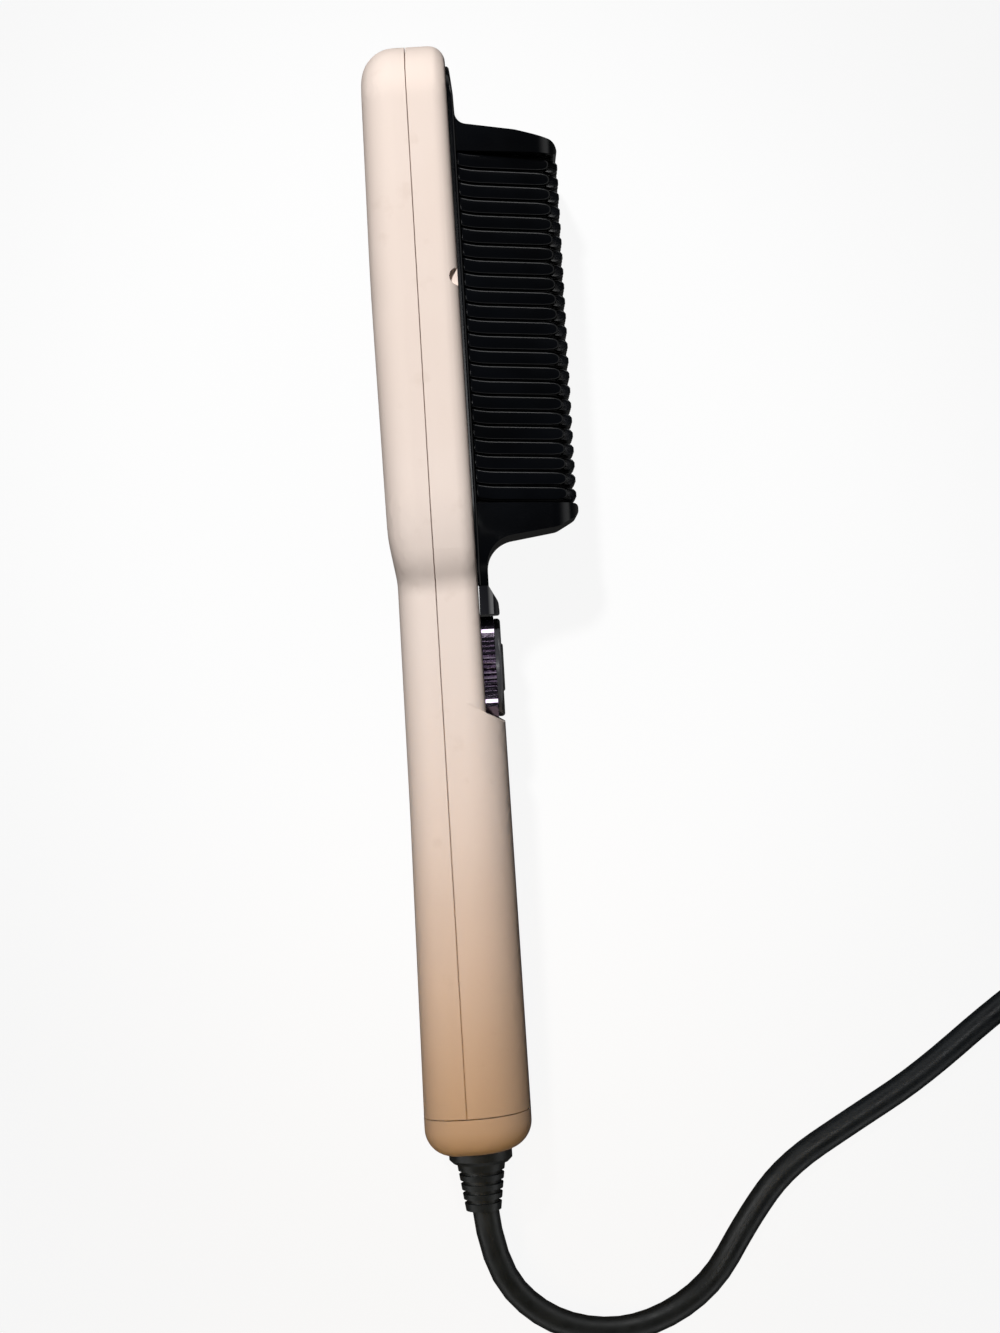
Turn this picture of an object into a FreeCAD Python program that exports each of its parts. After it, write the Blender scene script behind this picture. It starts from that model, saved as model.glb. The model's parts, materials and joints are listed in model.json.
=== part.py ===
import FreeCAD, Part
import math
import os

Vector = FreeCAD.Vector

# A hair straightening brush that lies on its side. Lengths are in millimetres.
# +X is the way the teeth point, and +Y runs to the top of the head. The origin is where the head's flat
# side rests, beside the parting line of the two shells.
# +Z is up, and the brush and its cord rest on Z = 0. A from_top value is measured down from the head's top.

# Whole brush
rest_from_top = 66.0
shoulder_from_top = 126.9
slope_from_top = 137.8
neck_from_top = 143.9
handle_end_from_top = 285.4
cap_length = 10.9
head_half_width = 28.0
slope_half_width = 25.5
neck_half_width = 21.8
grip_half_width = 20.0
head_corner_radius = 16.0
shoulder_radius = 68.0
slope_radius = 20.0
neck_radius = 10.5
wall = 2.2
fit = 0.2
running_fit = 0.05
seam_gap = 0.3
seam_x = 0.1
overrun = 2.0
tolerance = 0.001
facing_share = 0.9

# Depths behind and in front of the plane X = 0
back_depth_top = 11.9
back_depth_head = 12.6
back_depth_shoulder = 11.9
back_depth_neck = 10.2
back_depth_grip = 10.5
back_depth_end = 11.6
back_head_radius = 900.0
back_shoulder_radius = 40.0
back_neck_radius = 24.0
head_mid_from_top = 64.0
back_shoulder_from_top = 130.6
back_neck_from_top = 142.5
grip_mid_from_top = 205.0
front_rim_top = 10.5
front_rim_end = 11.9
grip_front_top = 16.4
grip_front_end = 17.2
back_edge_radius = 9.0
front_edge_radius = 4.4
grip_edge_radius_top = 11.0
grip_edge_radius_end = 16.6
step_from_top = 178.3
step_run = 3.0
step_wall = 5.0
tongue_height = 1.6
tongue_root = 2.0
notch_from_top = 63.5
notch_radius = 2.3
notch_depth = 3.2

# Comb frame with its two end guards
frame_rim = 5.5
frame_ledge = 2.0
frame_back = 9.9
frame_front = 12.2
frame_edge_drop = 1.0
frame_crown_from_top = 15.0
frame_edge_radius = 0.8
neck_front = 14.0
guard_half_width = 21.5
guard_tip_half_width = 16.5
guard_margin = 1.0
guard_end_radius = 9.0
guard_nose_radius = 1.2
guard_reach = 39.3
upper_guard_face_from_top = 30.2
upper_guard_root_from_top = 22.2
upper_guard_shoulder_from_top = 24.4
upper_guard_brow_from_top = 27.2
upper_guard_toe_from_top = 16.5
upper_guard_shoulder_x = 28.0
upper_guard_brow_x = 38.4
upper_guard_shoulder_radius = 14.0
upper_guard_brow_radius = 2.8
upper_guard_fillet = 3.0
lower_guard_face_from_top = 123.3
lower_guard_chin_from_top = 127.0
lower_guard_belly_from_top = 130.0
lower_guard_root_from_top = 132.6
lower_guard_belly_x = 33.5
lower_guard_chin_radius = 2.5
lower_guard_belly_radius = 4.0
lower_guard_fillet = 8.0

# Tooth rows: a broad fin at each side and slim teeth with round tips between them
row_count = 23
row_pitch = 4.0
first_row_from_top = 32.7
row_half_width = 20.5
row_base_height = 4.6
tooth_reach = 39.0
tooth_tilt_share = 0.045
fin_drop = 2.5
fin_root_half = 1.8
fin_end_half = 1.72
fin_tip_radius = 1.5
fin_width = 5.2
fin_tip_width = 3.6
fin_lean = 6.5
tooth_count = 4
tooth_pitch = 5.2
tooth_width = 2.8
tooth_tip_width = 2.4
tooth_root_half = 1.6
tooth_neck_half = 1.15
tooth_ball_half = 1.75
tooth_neck_drop = 4.7
tooth_ball_drop = 2.8
tooth_neck_radius = 3.0
tooth_tip_radius = 1.6
tooth_side_radius = 1.1

# Heater stack behind the rows
heat_window_half_width = 17.5
heat_window_corner = 3.0
heat_flange = 2.4
heat_flange_thickness = 1.5
heater_thickness = 2.5
heater_half_width = 8.0
heater_length = 40.0
heater_gap = 3.0
mica_thickness = 0.4
mica_margin = 2.0
clamp_thickness = 0.8
clamp_half_width = 7.0
clamp_margin = 4.0
fuse_radius = 2.0
fuse_length = 11.0
fuse_gap = 0.1
thermistor_size = 2.0
thermistor_half_width = 2.0
heat_screw_radius = 1.1
heat_screw_head_radius = 1.9
heat_screw_head = 1.2
heat_screw_grip = 1.4
heat_screw_corner_in = 5.0
shield_front = -2.0
shield_thickness = 1.0
shield_half_width = 21.0
shield_corner = 6.0
shield_top_from_top = 26.0
shield_end_from_top = 121.0
shield_post_radius = 3.0
shield_post_in = 9.0

# Display lens above the dial
lens_top_from_top = 144.6
lens_end_from_top = 152.2
lens_brow_from_top = 149.0
lens_brow_x = 16.4
lens_front = 16.6
lens_edge_radius = 0.6
lens_brow_radius = 3.2
lens_side_radius = 5.5
display_half_width = 9.5
display_margin = 0.7

# Dial, power button and the parts under them
dial_from_top = 166.5
dial_radius = 14.0
dial_back = 11.0
dial_web_front = 13.9
dial_ring_front = 14.8
dial_pocket_gap = 0.4
rib_count = 60
rib_depth = 0.45
rib_top_share = 0.45
rib_root_share = 0.25
dial_cap_radius = 13.3
dial_cap_front = 16.5
dial_cap_edge = 0.9
hub_radius = 6.0
hub_wall = 1.4
hub_end = 4.2
hub_guide_x = 9.0
button_radius = 6.5
button_front = 16.9
button_back = 15.2
button_edge = 0.6
button_travel = 0.8
stem_radius = 2.0
plunger_radius = 1.75
plunger_front = 7.6
plunger_back = 5.0
switch_front = 6.5
switch_half_width = 3.0
travel_room = 0.3
encoder_radius = 9.5
encoder_front = 8.2

# Control board
board_back = 2.0
board_thickness = 1.6
board_top_from_top = 143.0
board_length = 72.0
board_half_width = 12.0
board_post_radius = 2.6
board_post_in = 11.0
board_post_side = 9.5
board_screw_radius = 0.9
board_screw_depth = 5.0
board_screw_head_radius = 1.8
board_screw_head = 1.2
capacitor_length = 13.0
capacitor_half_width = 3.2
capacitor_height = 8.5
capacitor_from_top = 186.0
capacitor_side = 6.0
triac_length = 10.0
triac_half_width = 4.5
triac_height = 4.4
part_edge = 0.5
lead_radius = 0.8
lead_side = 5.0
lead_bend_first_from_top = 134.0
lead_bend_second_from_top = 126.0
lead_bend_radius = 4.0

# End cap and swivel
cap_floor = 3.0
cap_edge_radius = 7.5
cap_inner_radius = 1.0
spigot_length = 5.0
spigot_wall = 1.6
base_thickness = 4.0
contact_thickness = 0.8
contact_width = 1.2
outer_contact_radius = 8.6
inner_contact_radius = 5.6
swivel_neck_radius = 8.0
swivel_flange_radius = 9.4
swivel_gap = 0.3
collar_radius = 8.6
collar_length = 4.0
collar_edge = 1.0
relief_length = 17.0
relief_start_radius = 6.6
relief_end_radius = 4.8
relief_slot_count = 4
relief_slot_width = 1.1
relief_slot_depth = 1.1

# Cord, coil, tie and plug
cord_diameter = 7.2
arc_share = 0.45
cord_route = (
    (2.8, -236.5, 28.0),
    (2.8, -260.5, 28.0),
    (17.4, -280.0, 24.4),
    (40.8, -287.0, 15.0),
    (63.7, -278.5, 6.6),
    (76.8, -258.4, 3.6),
    (88.0, -244.8, 3.6),
    (107.5, -233.2, 3.6),
    (126.5, -222.3, 3.6),
    (150.0, -204.0, 3.6),
    (172.0, -189.6, 4.6),
    (193.0, -184.0, 4.6),
)
coil_mean_radius = 42.0
coil_layer_turns = 2.92
coil_climb_turns = 0.5
coil_step = 8.8
coil_layer_pitch = 7.9
coil_tail = 34.0
coil_steps_per_turn = 4
gap_points_per_turn = 72
tie_thickness = 0.8
tie_width = 9.0
tie_slack = 0.7
tie_corner = 2.0
tie_turn_share = 0.42
plug_length = 26.0
plug_thickness = 19.0
plug_edge = 4.0
plug_relief_length = 14.0
plug_relief_radius = 6.0
plug_face_edge = 1.0
blade_length = 17.0
blade_width = 6.35
blade_thickness = 1.5
blade_spacing = 12.7
blade_tip = 1.2

# Places worked out from the sizes above
mid_z = head_half_width
swivel_x = (grip_front_end - back_depth_end) / 2
cord_radius = cord_diameter / 2
reach_x = guard_reach + overrun
fin_reach = tooth_reach - fin_drop
tooth_mid_x = (frame_front + tooth_reach) / 2
cap_end_from_top = handle_end_from_top + cap_length
flange_back = frame_back - heat_flange_thickness
heater_back = flange_back - heater_thickness
mica_back = heater_back - mica_thickness
clamp_back = mica_back - clamp_thickness
board_front = board_back + board_thickness
board_mid_x = board_back + board_thickness / 2
board_end_from_top = board_top_from_top + board_length
last_row_from_top = first_row_from_top + row_pitch * (row_count - 1)
heater_top_from_top = (first_row_from_top + last_row_from_top - heater_gap) / 2 - heater_length
heater_end_from_top = heater_top_from_top + heater_gap + heater_length * 2
coil_span = coil_layer_turns * coil_step
coil_outer = coil_mean_radius + coil_span / 2
coil_turns = coil_layer_turns * 2 + coil_climb_turns


def y_at(from_top):
    return rest_from_top - from_top


def front_rim_at(from_top):
    return front_rim_top + (front_rim_end - front_rim_top) * from_top / handle_end_from_top


def half_width_at(from_top):
    share = (from_top - neck_from_top) / (handle_end_from_top - neck_from_top)
    return neck_half_width + (grip_half_width - neck_half_width) * share


def tilted(from_top, x):
    """A from_top value given for the middle of the teeth's height, moved along their tilt to x."""
    return from_top + tooth_tilt_share * (x - tooth_mid_x)


window_top_from_top = tilted(upper_guard_face_from_top, frame_front + overrun)
window_end_from_top = tilted(lower_guard_face_from_top, frame_back)


# Shape helpers


def corner_arc(before, corner, after, radius):
    towards_before = (before - corner).normalize()
    towards_after = (after - corner).normalize()
    half_angle = towards_before.getAngle(towards_after) / 2
    reach = radius / math.tan(half_angle)
    inwards = (towards_before + towards_after).normalize()
    middle = corner + inwards * (radius / math.sin(half_angle) - radius)
    return corner + towards_before * reach, middle, corner + towards_after * reach


def rounded_wire(corners):
    stops = []
    for index, (point, radius) in enumerate(corners):
        before = corners[index - 1][0]
        after = corners[(index + 1) % len(corners)][0]
        if radius:
            stops.append(corner_arc(before, point, after, radius))
        else:
            stops.append((point, None, point))
    edges = []
    for index, (start, middle, end) in enumerate(stops):
        following = stops[(index + 1) % len(stops)][0]
        if middle:
            edges.append(Part.Arc(start, middle, end).toShape())
        if end.distanceToPoint(following) > tolerance:
            edges.append(Part.LineSegment(end, following).toShape())
    return Part.Wire(edges)


def prism(corners, run):
    return Part.Face(rounded_wire(corners)).extrude(run)


def side_prism(corners, half_width):
    """A solid across the brush from corners of (x, from_top, radius), as wide as twice half_width."""
    placed = [(Vector(x, y_at(from_top), mid_z - half_width), radius) for x, from_top, radius in corners]
    return prism(placed, Vector(0, 0, half_width * 2))


def block(x_low, x_high, top_from_top, end_from_top, half_width, side=0):
    corner = Vector(x_low, y_at(end_from_top), mid_z + side - half_width)
    return Part.makeBox(x_high - x_low, end_from_top - top_from_top, half_width * 2, corner)


def rounded_plate(x_low, x_high, top_from_top, end_from_top, half_width, radius):
    corners = [
        (Vector(x_low, y_at(top_from_top), mid_z - half_width), radius),
        (Vector(x_low, y_at(top_from_top), mid_z + half_width), radius),
        (Vector(x_low, y_at(end_from_top), mid_z + half_width), radius),
        (Vector(x_low, y_at(end_from_top), mid_z - half_width), radius),
    ]
    return prism(corners, Vector(x_high - x_low, 0, 0))


def round_bar(x_low, x_high, radius, from_top, side=0):
    """A cylinder along X."""
    start = Vector(x_low, y_at(from_top), mid_z + side)
    return Part.makeCylinder(radius, x_high - x_low, start, Vector(1, 0, 0))


def turned_along_y(outline):
    """A solid of revolution about the swivel axis from corners of (radius, from_top)."""
    points = [Vector(swivel_x + radius, y_at(from_top), mid_z) for radius, from_top in outline]
    face = Part.Face(Part.makePolygon(points + points[:1]))
    return face.revolve(Vector(swivel_x, 0, mid_z), Vector(0, 1, 0), 360)


def joined(shapes):
    return shapes[0].multiFuse(shapes[1:]).removeSplitter()


def rim_edges(solid, towards_x, lowest_y):
    """Edges round the faces that look along towards_x, without those at lowest_y and between such faces."""
    found = {}
    for face in solid.Faces:
        u_low, u_high, v_low, v_high = face.ParameterRange
        normal = face.normalAt((u_low + u_high) / 2, (v_low + v_high) / 2)
        if normal.x * towards_x > facing_share:
            for edge in face.Edges:
                found.setdefault(edge.hashCode(), []).append(edge)
    edges = [same[0] for same in found.values() if len(same) == 1]
    return [edge for edge in edges if max(v.Point.y for v in edge.Vertexes) > lowest_y + tolerance]


# Outer form of the two shells, drawn in by an inset for the hollow inside


def plan_prism(inset, end_from_top, x_low, x_high):
    half = [
        (inset, head_half_width - inset, head_corner_radius - inset),
        (shoulder_from_top, head_half_width - inset, shoulder_radius - inset),
        (slope_from_top, slope_half_width - inset, slope_radius - inset),
        (neck_from_top, neck_half_width - inset, neck_radius + inset),
        (end_from_top, half_width_at(end_from_top) - inset, 0),
    ]
    corners = [(Vector(x_low, y_at(d), mid_z + w), radius) for d, w, radius in half]
    corners += [(Vector(x_low, y_at(d), mid_z - w), radius) for d, w, radius in reversed(half)]
    return prism(corners, Vector(x_high - x_low, 0, 0))


def thin_body(inset, end_from_top):
    """The body without its grip: its side outline cut to the plan, with both rims rounded."""
    overrun_end = handle_end_from_top + overrun
    side = side_prism(
        [
            (inset - back_depth_top, -overrun, 0),
            (inset - back_depth_head, head_mid_from_top, back_head_radius),
            (inset - back_depth_shoulder, back_shoulder_from_top, back_shoulder_radius),
            (inset - back_depth_neck, back_neck_from_top, back_neck_radius),
            (inset - back_depth_grip, grip_mid_from_top, back_head_radius),
            (inset - back_depth_end, overrun_end, 0),
            (front_rim_end - inset, overrun_end, 0),
            (front_rim_top - inset, -overrun, 0),
        ],
        mid_z + overrun,
    )
    solid = side.common(plan_prism(inset, end_from_top, -reach_x, reach_x)).Solids[0]
    lowest_y = y_at(end_from_top)
    solid = solid.makeFillet(back_edge_radius - inset, rim_edges(solid, -1, lowest_y))
    return solid.makeFillet(front_edge_radius - inset, rim_edges(solid, 1, lowest_y))


def grip_prism(inset, end_from_top):
    """The grip in front of X = 0 as wide as the head, and where its sloping step comes to its crest."""
    rim = front_rim_at(step_from_top)
    lean = step_run / (grip_front_top - rim)
    foot_from_top = step_from_top + (step_wall if inset else 0)
    crest_x = grip_front_top - inset
    crest_from_top = foot_from_top + lean * (crest_x - rim)
    corners = [
        (0, foot_from_top - lean * rim, 0),
        (crest_x, crest_from_top, 0),
        (grip_front_end - inset, end_from_top, 0),
        (0, end_from_top, 0),
    ]
    return side_prism(corners, head_half_width), y_at(crest_from_top)


def grip_body(inset, end_from_top):
    """The grip in front of X = 0, more and more rounded towards the handle's end."""
    solid, crest_y = grip_prism(inset, end_from_top)
    solid = solid.common(plan_prism(inset, end_from_top, -overrun, reach_x)).Solids[0]
    for side in (-1, 1):
        edge = next(
            edge
            for edge in rim_edges(solid, 1, y_at(end_from_top))
            if min(v.Point.y for v in edge.Vertexes) < crest_y - tolerance
            and side * (edge.CenterOfMass.z - mid_z) > grip_edge_radius_end / 2
        )
        radii = [grip_edge_radius_top - inset, grip_edge_radius_end - inset]
        if edge.valueAt(edge.FirstParameter).y < edge.valueAt(edge.LastParameter).y:
            radii.reverse()
        solid = solid.makeFillet(*radii, [edge])
    return solid


def body_form(inset, end_from_top):
    thin = thin_body(inset, end_from_top).cut(grip_prism(inset, end_from_top)[0])
    return joined([thin, grip_body(inset, end_from_top)])


# Shells


def shield_spots():
    side = shield_half_width - shield_post_in
    rows = (shield_top_from_top + shield_post_in, shield_end_from_top - shield_post_in)
    return [(from_top, z) for from_top in rows for z in (-side, side)]


def board_spots():
    rows = (board_top_from_top + board_post_in, board_end_from_top - board_post_in)
    return [(from_top, z) for from_top in rows for z in (-board_post_side, board_post_side)]


def make_back_shell(body, hollow):
    behind = block(-reach_x, seam_x - seam_gap / 2, -overrun, cap_end_from_top, mid_z + overrun)
    shell = body.common(behind).cut(hollow)
    ring_end = handle_end_from_top
    tongue = plan_prism(wall / 2 + fit, ring_end, -tongue_root, tongue_height)
    tongue = tongue.cut(plan_prism(wall, ring_end + overrun, -tongue_root - overrun, reach_x))
    shield_back = shield_front - shield_thickness
    posts = [round_bar(-reach_x, shield_back, shield_post_radius, d, z) for d, z in shield_spots()]
    posts += [round_bar(-reach_x, board_back, board_post_radius, d, z) for d, z in board_spots()]
    shell = joined([shell, tongue] + [post.common(body) for post in posts])
    for d, z in shield_spots():
        pilot = round_bar(shield_back - board_screw_depth, shield_back + overrun, board_screw_radius, d, z)
        shell = shell.cut(pilot)
    for d, z in board_spots():
        pilot = round_bar(board_back - board_screw_depth, board_back + overrun, board_screw_radius, d, z)
        shell = shell.cut(pilot)
    return shell


def make_front_shell(body, hollow):
    ahead = block(seam_x + seam_gap / 2, reach_x, -overrun, cap_end_from_top, mid_z + overrun)
    shell = body.common(ahead).cut(hollow)
    shell = shell.cut(plan_prism(wall / 2, handle_end_from_top + overrun, -overrun, tongue_height + fit))
    shell = shell.cut(plan_prism(frame_rim - fit, lens_end_from_top + fit, frame_back, reach_x))
    window_end = lens_end_from_top - frame_ledge
    shell = shell.cut(plan_prism(frame_rim + frame_ledge, window_end, overrun, frame_back + overrun))
    shell = shell.cut(round_bar(overrun, reach_x, hub_radius + running_fit, dial_from_top))
    pocket_floor = dial_back - seam_gap
    shell = shell.cut(round_bar(pocket_floor, reach_x, dial_radius + dial_pocket_gap, dial_from_top))
    for side in (-1, 1):
        start_z = mid_z + side * (head_half_width - notch_depth)
        start = Vector(front_rim_at(notch_from_top), y_at(notch_from_top), start_z)
        run = Vector(0, 0, side)
        shell = shell.cut(Part.makeCylinder(notch_radius, notch_depth + overrun, start, run))
    return shell


# Comb frame and tooth rows


def make_upper_guard():
    return side_prism(
        [
            (frame_back, tilted(upper_guard_face_from_top, frame_back), 0),
            (guard_reach, tilted(upper_guard_face_from_top, guard_reach), guard_nose_radius),
            (upper_guard_brow_x, upper_guard_brow_from_top, upper_guard_brow_radius),
            (upper_guard_shoulder_x, upper_guard_shoulder_from_top, upper_guard_shoulder_radius),
            (frame_front + fit, upper_guard_root_from_top, upper_guard_fillet),
            (frame_front, upper_guard_toe_from_top, 0),
            (frame_back, upper_guard_toe_from_top, 0),
        ],
        guard_half_width,
    )


def make_lower_guard():
    """The guard at the handle's end, with the raised neck that runs on to the lens."""
    return side_prism(
        [
            (frame_back, tilted(lower_guard_face_from_top, frame_back), 0),
            (guard_reach, tilted(lower_guard_face_from_top, guard_reach), guard_nose_radius),
            (guard_reach, lower_guard_chin_from_top, lower_guard_chin_radius),
            (lower_guard_belly_x, lower_guard_belly_from_top, lower_guard_belly_radius),
            (neck_front, lower_guard_root_from_top, lower_guard_fillet),
            (neck_front, lens_top_from_top - fit, 0),
            (frame_back, lens_top_from_top - fit, 0),
        ],
        guard_half_width,
    )


def heat_screw_spots():
    side = heat_window_half_width + heat_flange / 2
    rows = (window_top_from_top + heat_screw_corner_in, window_end_from_top - heat_screw_corner_in)
    return [(from_top, z) for from_top in rows for z in (-side, side)]


def make_comb_frame():
    side = side_prism(
        [
            (frame_back, frame_rim - overrun, 0),
            (frame_front - frame_edge_drop, frame_rim - overrun, 0),
            (frame_front, frame_crown_from_top, 0),
            (frame_front, lens_top_from_top - fit, 0),
            (frame_back, lens_top_from_top - fit, 0),
        ],
        head_half_width,
    )
    plate = side.common(plan_prism(frame_rim, lens_end_from_top, frame_back, reach_x)).Solids[0]
    plate = plate.makeFillet(frame_edge_radius, rim_edges(plate, 1, y_at(lens_top_from_top - fit)))
    rounded_ends = prism(
        [
            (Vector(frame_back, y_at(lens_end_from_top), mid_z - guard_half_width), 0),
            (Vector(guard_reach, y_at(lens_end_from_top), mid_z - guard_tip_half_width), guard_end_radius),
            (Vector(guard_reach, y_at(lens_end_from_top), mid_z + guard_tip_half_width), guard_end_radius),
            (Vector(frame_back, y_at(lens_end_from_top), mid_z + guard_half_width), 0),
        ],
        Vector(0, lens_end_from_top, 0),
    )
    inside_plate = plan_prism(frame_rim + guard_margin, lens_end_from_top, frame_back, reach_x)
    guards = [make_upper_guard(), make_lower_guard()]
    guards = [guard.common(rounded_ends).common(inside_plate) for guard in guards]
    frame = joined([plate] + guards)
    frame = frame.cut(
        rounded_plate(
            frame_back - overrun,
            frame_front + overrun,
            window_top_from_top,
            window_end_from_top,
            heat_window_half_width,
            heat_window_corner,
        )
    )
    hole_end = frame_back + heat_screw_grip
    for d, z in heat_screw_spots():
        frame = frame.cut(round_bar(frame_back - overrun, hole_end, heat_screw_radius, d, z))
    return frame


def tooth(side, tip_side, width, tip_width, reach, tip_radius):
    """One tooth of a row, seen along Y and as thick as two pitches."""
    low_y = y_at(first_row_from_top) - row_pitch
    base_x = frame_front
    corners = [
        (Vector(base_x, low_y, mid_z + side - width / 2), 0),
        (Vector(reach, low_y, mid_z + tip_side - tip_width / 2), tip_radius),
        (Vector(reach, low_y, mid_z + tip_side + tip_width / 2), tip_radius),
        (Vector(base_x, low_y, mid_z + side + width / 2), 0),
    ]
    return prism(corners, Vector(0, row_pitch * 2, 0))


def row_profile(stations):
    """A solid across the brush as thick as a row's teeth, from stations of (x, half thickness, radius)."""
    upper = [(x, tilted(first_row_from_top, x) - half, radius) for x, half, radius in stations]
    lower = [(x, tilted(first_row_from_top, x) + half, radius) for x, half, radius in reversed(stations)]
    return side_prism(upper + lower, row_half_width)


def make_tooth_row():
    fin_side = row_half_width - fin_width / 2
    base_end = frame_front + row_base_height
    top = first_row_from_top - row_pitch
    fins = [block(frame_front, base_end, top, first_row_from_top + row_pitch, fin_side)]
    tip_side = fin_side - fin_lean
    for way in (-1, 1):
        fins.append(
            tooth(way * fin_side, way * tip_side, fin_width, fin_tip_width, fin_reach, fin_tip_radius)
        )
    fin_profile = row_profile([(frame_front, fin_root_half, 0), (fin_reach, fin_end_half, fin_tip_radius)])
    tooth_profile = row_profile([
        (frame_front, tooth_root_half, 0),
        (tooth_reach - tooth_neck_drop, tooth_neck_half, tooth_neck_radius),
        (tooth_reach - tooth_ball_drop, tooth_ball_half, tooth_tip_radius),
        (tooth_reach, tooth_ball_half, tooth_tip_radius),
    ])
    teeth = []
    for number in range(tooth_count):
        side = (number - (tooth_count - 1) / 2) * tooth_pitch
        slim = tooth(side, side, tooth_width, tooth_tip_width, tooth_reach, tooth_side_radius)
        teeth.append(slim.common(tooth_profile))
    return joined([joined(fins).common(fin_profile)] + teeth).Solids[0]


# Heater stack


def make_heat_plate():
    top = window_top_from_top
    end = window_end_from_top
    raised = rounded_plate(
        frame_back,
        frame_front,
        top + fit,
        end - fit,
        heat_window_half_width - fit,
        heat_window_corner - fit,
    )
    flange = rounded_plate(
        flange_back,
        frame_back,
        top - heat_flange,
        end + heat_flange,
        heat_window_half_width + heat_flange,
        heat_window_corner + heat_flange,
    )
    plate = joined([raised, flange])
    for d, z in heat_screw_spots():
        plate = plate.cut(round_bar(flange_back - overrun, frame_back + overrun, heat_screw_radius, d, z))
    return plate


def make_heat_screws():
    screws = []
    for d, z in heat_screw_spots():
        head = round_bar(flange_back - heat_screw_head, flange_back, heat_screw_head_radius, d, z)
        shank = round_bar(flange_back, frame_back + heat_screw_grip, heat_screw_radius - running_fit, d, z)
        screws.append(joined([head, shank]))
    return Part.makeCompound(screws)


def make_heater(top_from_top):
    return block(heater_back, flange_back, top_from_top, top_from_top + heater_length, heater_half_width)


def make_mica():
    return rounded_plate(
        mica_back,
        heater_back,
        heater_top_from_top - mica_margin,
        heater_end_from_top + mica_margin,
        heater_half_width + mica_margin,
        mica_margin,
    )


def make_clamp():
    return rounded_plate(
        clamp_back,
        mica_back,
        heater_top_from_top + clamp_margin,
        heater_end_from_top - clamp_margin,
        clamp_half_width,
        clamp_margin,
    )


def make_fuse():
    middle_from_top = heater_top_from_top + heater_length / 2
    start = Vector(clamp_back - fuse_gap - fuse_radius, y_at(middle_from_top + fuse_length / 2), mid_z)
    fuse = Part.makeCylinder(fuse_radius, fuse_length, start, Vector(0, 1, 0))
    return fuse.makeFillet(part_edge, fuse.Edges[:1] + fuse.Edges[2:])


def make_thermistor():
    middle_from_top = heater_top_from_top + heater_length + heater_gap / 2
    top = middle_from_top - thermistor_size / 2
    end = top + thermistor_size
    bead = block(flange_back - thermistor_size, flange_back, top, end, thermistor_half_width)
    return bead.makeFillet(part_edge, rim_edges(bead, -1, -reach_x - rest_from_top))


def make_heat_shield():
    shield = rounded_plate(
        shield_front - shield_thickness,
        shield_front,
        shield_top_from_top,
        shield_end_from_top,
        shield_half_width,
        shield_corner,
    )
    for d, z in shield_spots():
        hole = round_bar(
            shield_front - shield_thickness - overrun, shield_front + overrun, board_screw_radius + fit, d, z
        )
        shield = shield.cut(hole)
    return shield


def screw_at(seat_x, thickness, from_top, side):
    """A small pan-head screw whose head sits on seat_x and whose shank goes back through thickness."""
    head = round_bar(seat_x, seat_x + board_screw_head, board_screw_head_radius, from_top, side)
    shank_end = seat_x - thickness - board_screw_depth + fit
    shank = round_bar(shank_end, seat_x, board_screw_radius - running_fit, from_top, side)
    return joined([head, shank])


# Dial and button


def make_dial_ring():
    root = dial_radius - rib_depth
    step = 2 * math.pi / rib_count
    points = []
    for number in range(rib_count):
        start = number * step
        flank = step * (1 - rib_top_share - rib_root_share) / 2
        angles = (
            (start, dial_radius),
            (start + step * rib_top_share, dial_radius),
            (start + step * rib_top_share + flank, root),
            (start + step * (rib_top_share + rib_root_share) + flank, root),
        )
        for angle, radius in angles:
            y = y_at(dial_from_top) + radius * math.cos(angle)
            points.append(Vector(dial_back, y, mid_z + radius * math.sin(angle)))
    outline = Part.Face(Part.makePolygon(points + points[:1]))
    ring = outline.extrude(Vector(dial_ring_front - dial_back, 0, 0))
    ring = ring.cut(round_bar(dial_web_front, reach_x, button_radius + running_fit, dial_from_top))
    ring = joined([ring, round_bar(hub_end, dial_back, hub_radius, dial_from_top)])
    ring = ring.cut(round_bar(hub_end - overrun, hub_guide_x, hub_radius - hub_wall, dial_from_top))
    return ring.cut(round_bar(hub_end, reach_x, stem_radius + running_fit, dial_from_top))


def make_dial_cap():
    cap = round_bar(dial_ring_front, dial_cap_front, dial_cap_radius, dial_from_top)
    outer = [e for e in cap.Edges if e.Vertexes[0].X > dial_cap_front - tolerance and len(e.Vertexes) == 1]
    cap = cap.makeFillet(dial_cap_edge, outer)
    return cap.cut(round_bar(dial_web_front, reach_x, button_radius + running_fit, dial_from_top))


def make_power_button():
    button = round_bar(button_back, button_front, button_radius, dial_from_top)
    outer = [e for e in button.Edges if e.Vertexes[0].X > button_front - tolerance and len(e.Vertexes) == 1]
    button = button.makeFillet(button_edge, outer)
    return joined([button, round_bar(plunger_front, button_back, stem_radius, dial_from_top)])


def make_switch_plunger():
    return round_bar(plunger_back, plunger_front, plunger_radius, dial_from_top)


def make_tact_switch():
    top = dial_from_top - switch_half_width
    switch = block(board_front, switch_front, top, top + switch_half_width * 2, switch_half_width)
    well_floor = plunger_back - button_travel - travel_room
    return switch.cut(round_bar(well_floor, reach_x, plunger_radius + running_fit, dial_from_top))


def make_encoder():
    encoder = round_bar(board_front, encoder_front, encoder_radius, dial_from_top)
    return encoder.cut(round_bar(overrun, reach_x, hub_radius + running_fit, dial_from_top))


# Lens, display and board


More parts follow.
